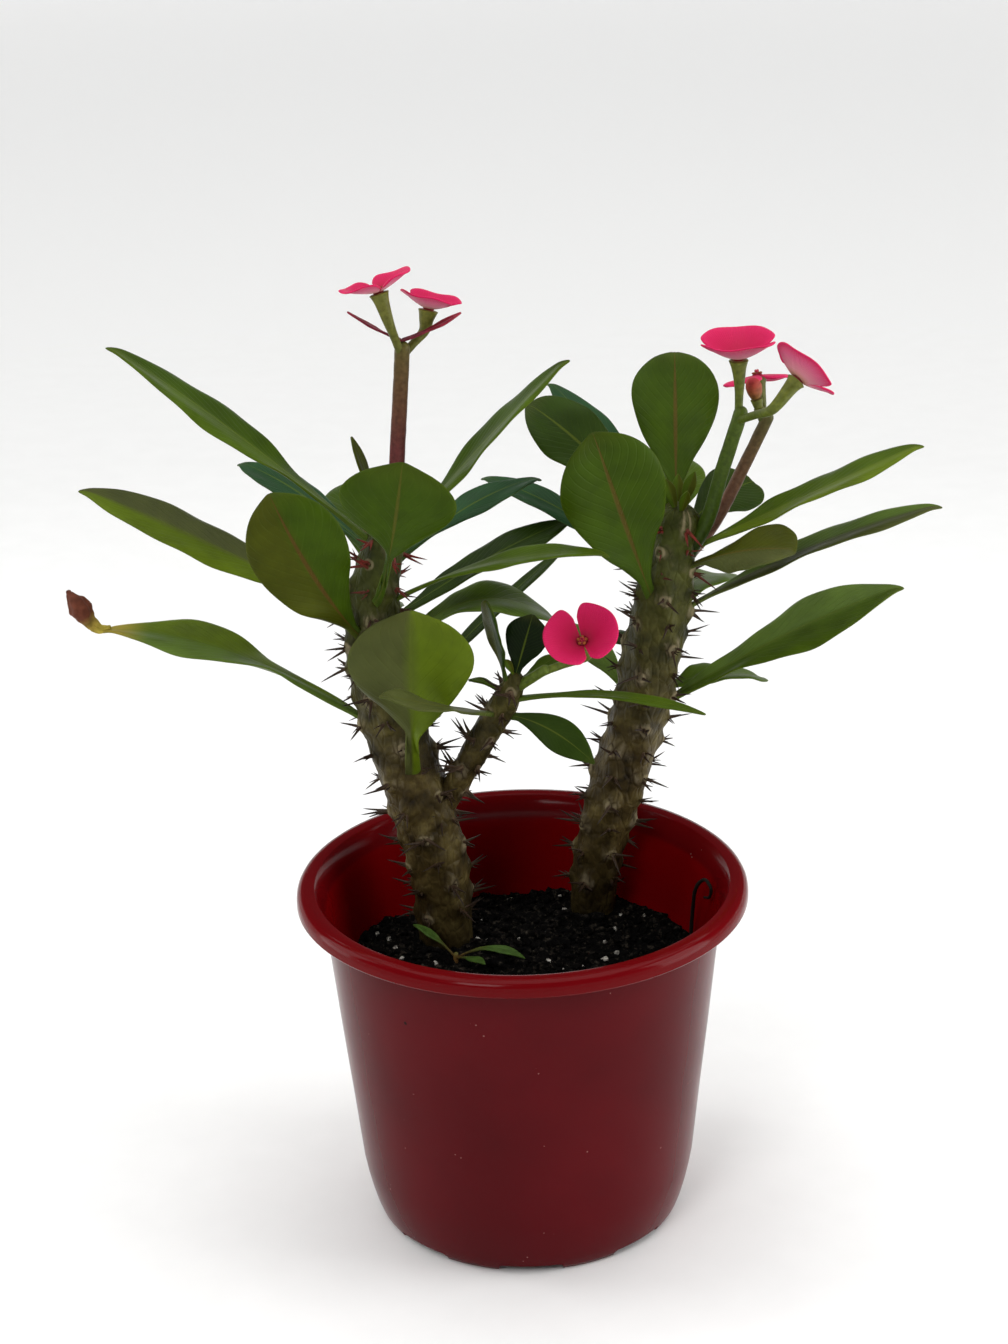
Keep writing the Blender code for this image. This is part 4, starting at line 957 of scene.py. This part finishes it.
def stem_relief(knots):
    """Relief of a stem: knobs, shallow grooves between their spiral rows, and old bark."""
    places = [(place, KNOB_RISE) for place in knob_places(knots)]
    places += [(place, LESSER_RISE) for place in knob_places(knots, 0.5)]
    knobs = [(centre + ray * radius, along, rise) for (centre, ray, along, radius), rise in places]

    def relief(centre, ray, share):
        spot = centre + ray * RELIEF_RADIUS
        total = 0.0
        for knob, along, rise in knobs:
            off = spot - knob
            climb = off.dot(along)
            distance = math.sqrt(max(0.0, off.length_squared - climb ** 2) + (KNOB_STRETCH * climb) ** 2)
            if distance < 3 * KNOB_SPREAD:
                total += rise * math.exp(-(distance / KNOB_SPREAD) ** 2)
        drawn_out = Vector((spot.x, spot.y, spot.z * 0.6))
        wrinkles = 0.4 * noise.noise(drawn_out / 4.0) + 0.25 * noise.noise(spot / 1.5)
        return total - GROOVE_DEPTH + wrinkles

    return relief


def stem_tags(knots, steps):
    """How near each place of a stem lies to a knob, and how old its skin is, both from 0 to 1."""
    rail = Rail(knots, steps)
    knobs = [centre + ray * radius for centre, ray, along, radius in knob_places(knots)]

    def step_at(along):
        return max(0, min(steps, round(along * (steps + ROUND_ROWS + 1)) - 1))

    def nearness(across, along):
        step = step_at(along)
        spot = rail.centres[step] + rail.ray(step, across) * rail.radii[step]
        return math.exp(-(min((spot - knob).length for knob in knobs) / SCAR_SPREAD) ** 2)

    def age(across, along):
        return clamp((YOUNG_SKIN_HEIGHT - rail.centres[step_at(along)].z) / AGEING_LENGTH)

    return {"knob": nearness, "age": age}


class PLANT_OT_stems(bpy.types.Operator):
    """Grows the two stems and the side branch, knobbly and scarred"""

    bl_idname = "plant.make_stems"
    bl_label = "Stems"

    def execute(self, context):
        paint = succulent_bark(context.scene.plant_colours)
        pieces = {}
        for name, (sides, steps) in STEM_GRIDS.items():
            knots = STEMS[name]
            pieces[name] = tube("stem_" + name + "_skin", knots, sides, steps, stem_tags(knots, steps),
                                stem_relief(knots), 0.8)
        left = join_pieces([pieces["left"], pieces["branch"]], "left_stem_and_branch")
        dress(left, paint, ["stem_left"], 60)
        pieces["right"].name = "right_stem"
        dress(pieces["right"], paint, ["stem_right"], 60)
        return {"FINISHED"}


def tree_of(objects):
    """A search tree over the world surfaces of some objects."""
    points, faces = [], []
    for made in objects:
        start = len(points)
        points += [made.matrix_world @ vertex.co for vertex in made.data.vertices]
        faces += [[start + index for index in polygon.vertices] for polygon in made.data.polygons]
    return BVHTree.FromPolygons(points, faces)


def grow_spines(knots, shyness, seed, lists, thickness, length_share, shift):
    """Adds the spines of one stem to the lists: curved six sided thorns on every knob."""
    points, faces, along_values, young_values = lists
    draw = random.Random(seed)
    for centre, ray, along, radius in knob_places(knots, shift):
        side = along.cross(ray)
        young = clamp((centre.z - YOUNG_SPINE_HEIGHT) / SPINE_AGEING_LENGTH)
        for number in range(draw.choice((2, 2, 3))):
            spread = draw.uniform(-0.75, 0.75) + (0.35 if number % 2 else -0.35)
            tilt = draw.uniform(-0.45, 0.65)
            way = (ray + side * spread + along * tilt).normalized()
            length = draw.uniform(*SPINE_LENGTH) * (0.6 + 0.4 * min(1.0, radius / 9)) * length_share
            foot = centre + ray * (radius + 0.4) + side * spread * 1.2 + along * draw.uniform(-0.8, 0.8)
            bend = (draw.random() - 0.5) * 1.4
            samples = [foot + way * length * part / 5 for part in range(6)]
            if any(shyness.find_nearest(place * MM)[3] < SPINE_CLEARANCE * MM for place in samples):
                continue
            across = way.orthogonal().normalized()
            other = way.cross(across)
            start = len(points)
            for share, width in SPINE_RINGS:
                middle = foot - way * 1.2 * (1 - share) + way * length * share + across * bend * share ** 2
                for corner in range(SPINE_SIDES):
                    angle = math.tau * corner / SPINE_SIDES
                    spot = middle + (across * math.cos(angle) + other * math.sin(angle)) * thickness * width
                    points.append(spot * MM)
                    along_values.append(share)
            tip = len(points)
            points.append((foot + way * length + across * bend) * MM)
            along_values.append(1.0)
            young_values += [young] * (len(points) - start)
            for base in range(start, tip - SPINE_SIDES, SPINE_SIDES):
                for corner in range(SPINE_SIDES):
                    following = (corner + 1) % SPINE_SIDES
                    faces.append((base + corner, base + following, base + SPINE_SIDES + following,
                                  base + SPINE_SIDES + corner))
            base = tip - SPINE_SIDES
            for corner in range(SPINE_SIDES):
                faces.append((base + corner, base + (corner + 1) % SPINE_SIDES, tip))
            faces.append(tuple(reversed(range(start, start + SPINE_SIDES))))


class PLANT_OT_spines(bpy.types.Operator):
    """Sets the spines on the knobs of the stems"""

    bl_idname = "plant.make_spines"
    bl_label = "Spines"

    def execute(self, context):
        # Spines stay clear of the leaves, flowers, pot and soil of the CAD model
        near = [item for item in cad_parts.values() if item.name.startswith(SPINE_NEIGHBOURS)]
        shyness = tree_of(near + [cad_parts["pot"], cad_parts["soil"]])
        paint = horny_spine()
        thickness = context.scene.plant_sizes.spine_radius / MM
        for name, stems in SPINE_GROUPS.items():
            lists = points, faces, along_values, young_values = [], [], [], []
            for stem, offset in stems:
                for seed, stoutness, length_share, shift in SPINE_ROUNDS:
                    grow_spines(STEMS[stem], shyness, seed + offset, lists, thickness * stoutness, length_share,
                                shift)
            made = listed_mesh(name, points, faces)
            made.data.attributes.new("along", "FLOAT", "POINT").data.foreach_set("value", along_values)
            made.data.attributes.new("young", "FLOAT", "POINT").data.foreach_set("value", young_values)
            dress(made, paint, [], 40)
        return {"FINISHED"}


def outline_share(outline, share):
    """Half width of a blade along its length, read smoothly from its outline."""
    knots = [((place, width, 0), 0) for place, width in outline]
    return max(0.0, spline_where(knots, 0, share, 16)[0].y)


def leaf_line(root, tip, arch, lean, share):
    """Point on the curved midline of a leaf."""
    control = (root + tip) / 2 + 2 * Vector((0, -lean, arch))
    return root * (1 - share) ** 2 + control * 2 * share * (1 - share) + tip * share ** 2


def blade_place(root, tip, curve, face, width, half_petiole, bare, phase, wave_size):
    """The function that lays a grid out as a leaf blade."""
    frames = []
    outline = SLENDER_OUTLINE if (tip - root).length > SLENDER_RATIO * width else BLADE_OUTLINE
    for step in range(BLADE_STEPS + 1):
        share = step / BLADE_STEPS
        centre = leaf_line(root, tip, *curve, share)
        ahead = leaf_line(root, tip, *curve, share + 0.01) - leaf_line(root, tip, *curve, share - 0.01)
        ahead.normalize()
        normal = (Vector(face) - ahead * ahead.dot(Vector(face))).normalized()
        leafy = max(0.0, (share - bare) / (1 - bare))
        half = max(half_petiole * (1 - 0.5 * share) * min(1.0, (1.02 - share) * 18),
                   width / 2 * outline_share(outline, leafy))
        frames.append((centre, normal, ahead.cross(normal), half))

    def place(across, along):
        step = min(BLADE_STEPS, round(along * BLADE_STEPS))
        centre, normal, side, half = frames[step]
        share = step / BLADE_STEPS
        part = 2 * across - 1
        # The petiole is even, and the fold, the waves and the curled edge grow in along the blade
        grown = clamp((share - 0.1) / 0.3)
        wave = wave_size * width * part ** 2 * grown * math.sin(11 * share + 2.2 * part + phase)
        ripple = RIPPLE * width * part ** 2 * grown * math.sin(34 * share + 5 * part + 2 * phase)
        lift = FOLD * abs(part) ** 1.25 * half * grown + (wave + ripple) * (1 - share ** 4)
        curl = EDGE_CURL * half * max(0.0, abs(part) - 0.75) * grown
        hook = TIP_HOOK * max(0.0, (share - 0.955) / 0.045) ** 2 if width > SMALL_LEAF_WIDTH else 0.0
        return centre + side * part * half + normal * (lift - curl - hook)

    return place


def thicken_leaf(made, full):
    """Gives a blade its thickness: stout at the petiole and midrib, thin at the edges."""
    group = made.vertex_groups.new(name="stoutness")
    for index, item in enumerate(made.data.attributes["stout"].data):
        group.add([index], item.value, "REPLACE")
    apply_modifier(made, "SOLIDIFY", thickness=full, offset=0.0, vertex_group="stoutness",
                   thickness_vertex_group=THIN_SHARE, use_even_offset=True)
    made.vertex_groups.clear()
    apply_modifier(made, "SUBSURF", levels=1, render_levels=1)
    face_outwards(made)


def mark_undersides(made, upward):
    """Marks the corners on the side of a thin sheet that looks away from the upward direction at a place."""
    values = [0.0] * len(made.data.loops)
    for polygon in made.data.polygons:
        value = 1.0 if polygon.normal.dot(upward(polygon.center)) < 0 else 0.0
        for loop in polygon.loop_indices:
            values[loop] = value
    made.data.attributes.new("under", "FLOAT", "CORNER").data.foreach_set("value", values)


def make_leaf(row, root, thickness):
    """One leaf, from its root to its tip."""
    tip, face = Vector(row.tip), Vector(row.face)
    half_petiole = BROAD_PETIOLES.get(row.name, min(PETIOLE_HALF_WIDTH, row.width / 5))
    place = blade_place(root, tip, (row.arch, row.lean), row.face, row.width, half_petiole, row.bare, tip.x,
                        WAVY_LEAVES.get(row.name, EDGE_WAVE))
    withering = row.name == DRIED_LEAF
    pale, warm = linear("5c7030"), linear("948434" if withering else "484a1a")

    def tint(across, along):
        # Painted light and shade: each half of the blade gets the green of how the light falls on its side of the
        # fold
        colour = mixed(LEAF_GREENS[row.left], LEAF_GREENS[row.right], clamp((across - 0.5) * 9 + 0.5))
        foot = max(0.0, 1 - along / 0.26) * 0.6
        far = clamp((along - 0.84) / 0.1) if withering else max(0.0, (along - 0.9) / 0.1) * 0.3
        return blend(blend(colour, pale, foot), warm, far)

    def stoutness(across, along):
        part = abs(2 * across - 1)
        foot = max(0.0, 1 - along / 0.32)
        return min(1.0, 0.42 + 0.58 * foot + 0.16 * max(0.0, 1 - part * 5)) * (1 - 0.25 * part * (1 - foot))

    columns, rows = (12, 36) if row.width > 10 else (8, 24)
    made = wrap_sheet(row.name + "_blade", columns, rows, place,
                      {"tint": tint, "rib": lambda across, along: float(row.rib), "stout": stoutness})
    thicken_leaf(made, thickness * LEAF_SWELL)
    mark_undersides(made, lambda centre: face)
    return made


class PLANT_OT_leaves(bpy.types.Operator):
    """Grows every leaf from its place on the stems"""

    bl_idname = "plant.make_leaves"
    bl_label = "Leaves"

    def execute(self, context):
        paint = spurge_leaf()
        thickness = context.scene.plant_sizes.leaf_thickness
        for row in LEAVES:
            root = spline_where(STEMS[row.stem], 2, row.height, 24)[0]
            dress(make_leaf(row, root, thickness), paint, [row.name], 70)
        for number, (stem, foot, tip, width) in enumerate(YOUNG_LEAVES):
            row = Leaf(f"young_leaf_{number}", stem, foot[2], tip, width, 0.6, 0, (0.2, -1, 0.5), "middle",
                       "olive", 0.5)
            dress(make_leaf(row, Vector(foot), thickness * 0.8), paint, [], 70)
        return {"FINISHED"}


class PLANT_OT_dried_end(bpy.types.Operator):
    """Shrivels the end of the low left leaf"""

    bl_idname = "plant.make_dried_end"
    bl_label = "Dried leaf end"

    def execute(self, context):
        start = Vector(DRIED_START)
        knots = [(tuple(start + Vector(place)), radius) for place, radius in DRIED_PATH]

        def relief(centre, ray, share):
            folds = 0.5 * math.sin(9 * math.atan2(ray.z, ray.y) / 3 + centre.z * 0.5)
            return folds * math.sin(math.pi * share) + 0.5 * noise.noise((centre + ray * 4) / 1.6)

        def tint(across, along):
            return mixed("a8983c", "5c3020", min(1.0, max(0.0, along - 0.18) * 3.4))

        made = tube("dried_leaf_curl", knots, 28, 30, {"tint": tint}, relief)
        dress(made, tinted_tissue("shrivelled_leaf", 500.0, 0.75), ["dried_leaf_end"], 50)
        return {"FINISHED"}


def petal_reach(angle, radius):
    """Outer radius of the bloom at an angle, with a notch on each side between the petals."""
    off = abs(abs((angle + math.pi) % math.tau - math.pi) - math.pi / 2)
    notch = NOTCH_DEPTH * math.exp(-(off / NOTCH_WIDTH) ** 2)
    return radius * (0.94 + 0.06 * abs(math.cos(angle))) * (1 - notch)


def facing_matrix(cup):
    """Placement of a bloom on its cup, in millimetres, with its Z along the way that it faces."""
    facing = Vector(cup.facing).normalized()
    side = Vector((1, 0, 0)) - facing * facing.x
    side.normalize()
    turned = Matrix((side, facing.cross(side), facing)).transposed().to_4x4()
    place = Vector(cup.place) + facing * CUP_GAP
    return Matrix.Translation(place) @ turned @ Matrix.Rotation(cup.spin, 4, "Z")


def make_petals(cup, thickness):
    """The two petals of a bloom, each a rounded fan that meets the other at the notches."""
    placement = facing_matrix(cup)
    halves = []
    for number in (0, 1):
        def place(across, along):
            angle = (2 * across - 1) * PETAL_HALF_TURN
            reach = petal_reach(angle, cup.radius)
            radius = PETAL_START + (reach - PETAL_START) * along
            rise = cup.rise * (radius / cup.radius) ** 1.5 + 0.4
            ruffle = 0.35 * along ** 3 * math.sin(5 * angle + number * 1.7 + cup.spin * 3)
            roll = -PETAL_ROLL * max(0.0, along - 0.86) / 0.14
            angle += number * math.pi
            return placement @ Vector((radius * math.cos(angle), radius * math.sin(angle), rise + ruffle + roll))

        half = wrap_sheet("petal", 30, 12, place, {})
        thicken_sheet(half, thickness)
        halves.append(half)
    made = join_pieces(halves, cup.name + "_petals")
    # The upper side of a cupped bloom looks to a point above its heart, and that of a flat one straight up
    facing = Vector(cup.facing).normalized()
    focus = Vector(cup.place) * MM + facing * FOCUS_HEIGHT
    mark_undersides(made, lambda centre: facing if cup.rise < 1 else (focus - centre).normalized())
    return made


def make_eye(cup):
    """The true flower in the middle: a small cup, five glands round it, and the stigma."""
    placement = facing_matrix(cup)
    parts = []

    def bead(centre, size, colour, stretch):
        def place(across, along):
            turn, climb = math.tau * across, math.pi * (along - 0.5)
            spot = Vector((math.cos(turn) * math.cos(climb) * stretch[0],
                           math.sin(turn) * math.cos(climb) * stretch[1], math.sin(climb) * stretch[2]))
            return placement @ (Vector(centre) + spot * size)

        made = wrap_sheet("bead", 12, 8, place, {"tint": lambda across, along: linear(colour)})
        face_outwards(made)
        parts.append(made)

    bead((0, 0, 0.4), 1.7, "7c1626", (1.0, 1.0, 0.7))
    for number in range(5):
        angle = math.tau * number / 5
        bead((1.2 * math.cos(angle), 1.2 * math.sin(angle), 1.3), 0.5, "8c4a20", (1.1, 1.1, 0.6))
        bead((0.5 * math.cos(angle + 0.6), 0.5 * math.sin(angle + 0.6), 1.8), 0.3, "b43a4c", (0.8, 0.8, 2.0))
    return join_pieces(parts, cup.name + "_eye")


def make_bud(cup):
    """A closed bud: two bracts wrapped over each other in a spiral."""
    placement = facing_matrix(cup)

    def place(across, along):
        radius, height = row_at(BUD_PROFILE, along)
        angle = math.tau * across
        folds = 1 + 0.07 * math.sin(3 * angle + 2.4 * along)
        return placement @ Vector((radius * folds * math.cos(angle), radius * folds * math.sin(angle), height))

    made = wrap_sheet("bud_bracts", 24, 18, place,
                      {"tint": lambda across, along: mixed("5a5a24", "a02c30", min(1.0, along * 1.3))})
    face_outwards(made)
    apply_modifier(made, "SUBSURF", levels=1, render_levels=1)
    return made


def make_stalk(row):
    """A flower stalk with its side stalks and cups, painted from foot to fork."""
    path = [Vector(place) for place in row.path]
    foot, middle, top = row.colours
    radii = [row.radius * share for share in (1.0, 0.94, 0.9)]

    def stalk_tint(across, along):
        return mixed(foot, middle, along * 2) if along < 0.5 else mixed(middle, top, along * 2 - 1)

    def cup_tint(across, along):
        return mixed(top, "66682a", along) if along < 0.9 else mixed("66682a", "a06a5a", (along - 0.9) * 9)

    pieces = [tube(row.name + "_rod", even_knots(path, radii, 12), 20, 40, {"tint": stalk_tint},
                   lambda centre, ray, share: 0.1 * noise.noise((centre + ray * 3) / 3.0))]
    fork = path[-1]
    start = fork - (fork - path[-2]).normalized() * 2.5
    for cup in row.cups:
        facing = Vector(cup.facing).normalized()
        end = Vector(cup.place)
        bend = end - facing * (end - fork).length * 0.45
        line = [start, (start + bend) / 2, bend, end - facing * 2.4, end]
        # The side stalk flares into the cup, less so under the bud
        share = 1.0 if cup.name.startswith("bloom") else 0.63
        radii = [PEDICEL_RADIUS * 1.25, PEDICEL_RADIUS, PEDICEL_RADIUS, 1.35, 1.6,
                 *(radius * share for radius in (1.9, 2.25, 2.65, CUP_RADIUS))]
        pieces.append(tube("cup", even_knots(line, radii, 16), 20, 32, {"tint": cup_tint}, blunt=0.12))
    return join_pieces(pieces, row.name + "_tissue")


def make_bract(row, tip, number):
    """One of the two thin dark red bracts under the fork."""
    start = Vector(row.path[-1]) + Vector((0, 0, 2.5))
    place = blade_place(start, Vector(tip), (-0.8, 0), UP, 5.0, 1.4, 0.0, float(number), 0.03)
    made = wrap_sheet(f"{row.name}_bract_{number}", 8, 20, place,
                      {"tint": lambda across, along: mixed("5a1c28", "8a2436", along)})
    thicken_sheet(made, BRACT_THICKNESS)
    return made


class PLANT_OT_flowers(bpy.types.Operator):
    """Makes the flower stalks with their cups, bracts, bud and blooms"""

    bl_idname = "plant.make_flowers"
    bl_label = "Flowers"

    def execute(self, context):
        petals = flower_petal(context.scene.plant_colours)
        tissue = tinted_tissue("flower_stalk_skin", 700.0, 0.42)
        flesh = tinted_tissue("flower_gland", 900.0, 0.35)
        bracts = tinted_tissue("red_bract", 600.0, 0.5)
        for row in STALKS:
            dress(make_stalk(row), tissue, [row.name], 60)
            for number, tip in enumerate(row.bracts):
                dress(make_bract(row, tip, number), bracts, [], 60)
            for cup in row.cups:
                if cup.name.startswith("bud"):
                    dress(make_bud(cup), bracts, [cup.name], 60)
                    continue
                dress(make_petals(cup, context.scene.plant_sizes.petal_thickness), petals, [cup.name], 60)
                dress(make_eye(cup), flesh, [], 60)
        return {"FINISHED"}


class PLANT_OT_small_things(bpy.types.Operator):
    """Adds the seedling and the dry tendril that stand in the soil"""

    bl_idname = "plant.make_small_things"
    bl_label = "Seedling and tendril"

    def execute(self, context):
        pieces = [tube("seedling_stem", even_knots(SEEDLING_STEM, [0.8, 0.8], 6), 14, 12,
                       {"tint": lambda across, along: mixed("6a2c22", "5a5a28", along)})]
        root = Vector(SEEDLING_STEM[-1]) - Vector((0, 0, 1.2))
        for number, (tip, width, arch) in enumerate(SEEDLING_LEAVES):
            place = blade_place(root, Vector(tip), (arch, 0), UP, width, 0.45, 0.0, float(number), EDGE_WAVE)
            leaf = wrap_sheet("seedling_leaf", 8, 22, place,
                              {"tint": lambda across, along: mixed("523a20", "38501c", min(1.0, along * 2))})
            thicken_sheet(leaf, SEEDLING_THICKNESS)
            pieces.append(leaf)
        seedling = join_pieces(pieces, "seedling_plant")
        dress(seedling, tinted_tissue("seedling_tissue", 500.0, 0.5), ["seedling"], 60)
        tendril = tube("dry_tendril_curl", even_knots(TENDRIL_PATH, [0.65, 0.6, 0.42], 40), 12, 90,
                       {"tint": lambda across, along: linear("1a1410")},
                       lambda centre, ray, share: 0.12 * noise.noise((centre + ray) / 1.1))
        dress(tendril, tinted_tissue("withered_tendril", 800.0, 0.8), ["dry_tendril"], 60)
        return {"FINISHED"}


def stage_piece(name, paper):
    """Names the newest object and gives it its paper."""
    made = bpy.context.object
    made.name = name
    made.data.materials.append(paper)


class PLANT_OT_stage(bpy.types.Operator):
    """Sets up the camera, the pale floor and the soft light"""

    bl_idname = "plant.set_stage"
    bl_label = "Stage"

    def execute(self, context):
        settings = context.scene.plant_stage
        paper = studio_paper()
        select()
        bpy.ops.mesh.primitive_plane_add(size=FLOOR_SIZE, location=(0, 0, 0))
        stage_piece("studio_floor", paper)
        select()
        bpy.ops.mesh.primitive_cylinder_add(vertices=96, radius=BACKDROP_RADIUS, depth=BACKDROP_HEIGHT,
                                            end_fill_type="NOTHING", location=(0, 0, BACKDROP_HEIGHT / 2))
        stage_piece("studio_backdrop", paper)
        world = bpy.data.worlds.new("white_surroundings")
        world.use_nodes = True
        background = world.node_tree.nodes["Background"]
        background.inputs[0].default_value = (1.0, 1.0, 1.0, 1.0)
        background.inputs[1].default_value = settings.world_strength
        context.scene.world = world
        for name, place, size, setting, share in LAMPS:
            bpy.ops.object.light_add(type="AREA", location=place)
            lamp = bpy.context.object
            lamp.name = name
            lamp.data.shape = "RECTANGLE"
            lamp.data.size, lamp.data.size_y = size
            lamp.data.energy = getattr(settings, setting) * share
            aim = Vector(LAMP_AIM) - Vector(place)
            lamp.rotation_euler = aim.to_track_quat("-Z", "Y").to_euler()
        bpy.ops.object.camera_add(location=CAMERA_PLACE)
        camera = bpy.context.object
        camera.name = "photo_camera"
        camera.data.lens = settings.lens
        camera.data.sensor_width = 36.0
        camera.data.sensor_fit = "AUTO"
        pitch, yaw, roll = (math.radians(value) for value in CAMERA_TURN)
        camera.matrix_world = (Matrix.Translation(CAMERA_PLACE) @ Matrix.Rotation(-yaw, 4, "Z")
                               @ Matrix.Rotation(math.pi / 2 + pitch, 4, "X") @ Matrix.Rotation(roll, 4, "Z"))
        context.scene.camera = camera
        context.scene.view_settings.view_transform = "Standard"
        return {"FINISHED"}


class PLANT_PT_panel(bpy.types.Panel):
    """Lists the pieces of the plant"""

    bl_label = "Crown of thorns"
    bl_idname = "PLANT_PT_panel"
    bl_space_type = "VIEW_3D"
    bl_region_type = "UI"
    bl_category = "Plant"

    def draw(self, context):
        layout = self.layout
        for operator in OPERATORS:
            layout.operator(operator.bl_idname)
        for group in (context.scene.plant_sizes, context.scene.plant_colours, context.scene.plant_stage):
            box = layout.box()
            for name in group.__annotations__:
                box.prop(group, name)


OPERATORS = (PLANT_OT_stage, PLANT_OT_pot, PLANT_OT_soil, PLANT_OT_stems, PLANT_OT_spines, PLANT_OT_leaves,
             PLANT_OT_dried_end, PLANT_OT_flowers, PLANT_OT_small_things)
CLASSES = (PlantSizes, PlantColours, StageSettings, *OPERATORS, PLANT_PT_panel)


def register():
    for item in CLASSES:
        bpy.utils.register_class(item)
    bpy.types.Scene.plant_sizes = PointerProperty(type=PlantSizes)
    bpy.types.Scene.plant_colours = PointerProperty(type=PlantColours)
    bpy.types.Scene.plant_stage = PointerProperty(type=StageSettings)


def unregister():
    for name in ("plant_sizes", "plant_colours", "plant_stage"):
        delattr(bpy.types.Scene, name)
    for item in reversed(CLASSES):
        bpy.utils.unregister_class(item)


def main():
    register()
    bpy.ops.plant.set_stage()
    bpy.ops.plant.make_pot()
    bpy.ops.plant.make_soil()
    bpy.ops.plant.make_stems()
    bpy.ops.plant.make_spines()
    bpy.ops.plant.make_leaves()
    bpy.ops.plant.make_dried_end()
    bpy.ops.plant.make_flowers()
    bpy.ops.plant.make_small_things()


if __name__ == "__main__":
    main()
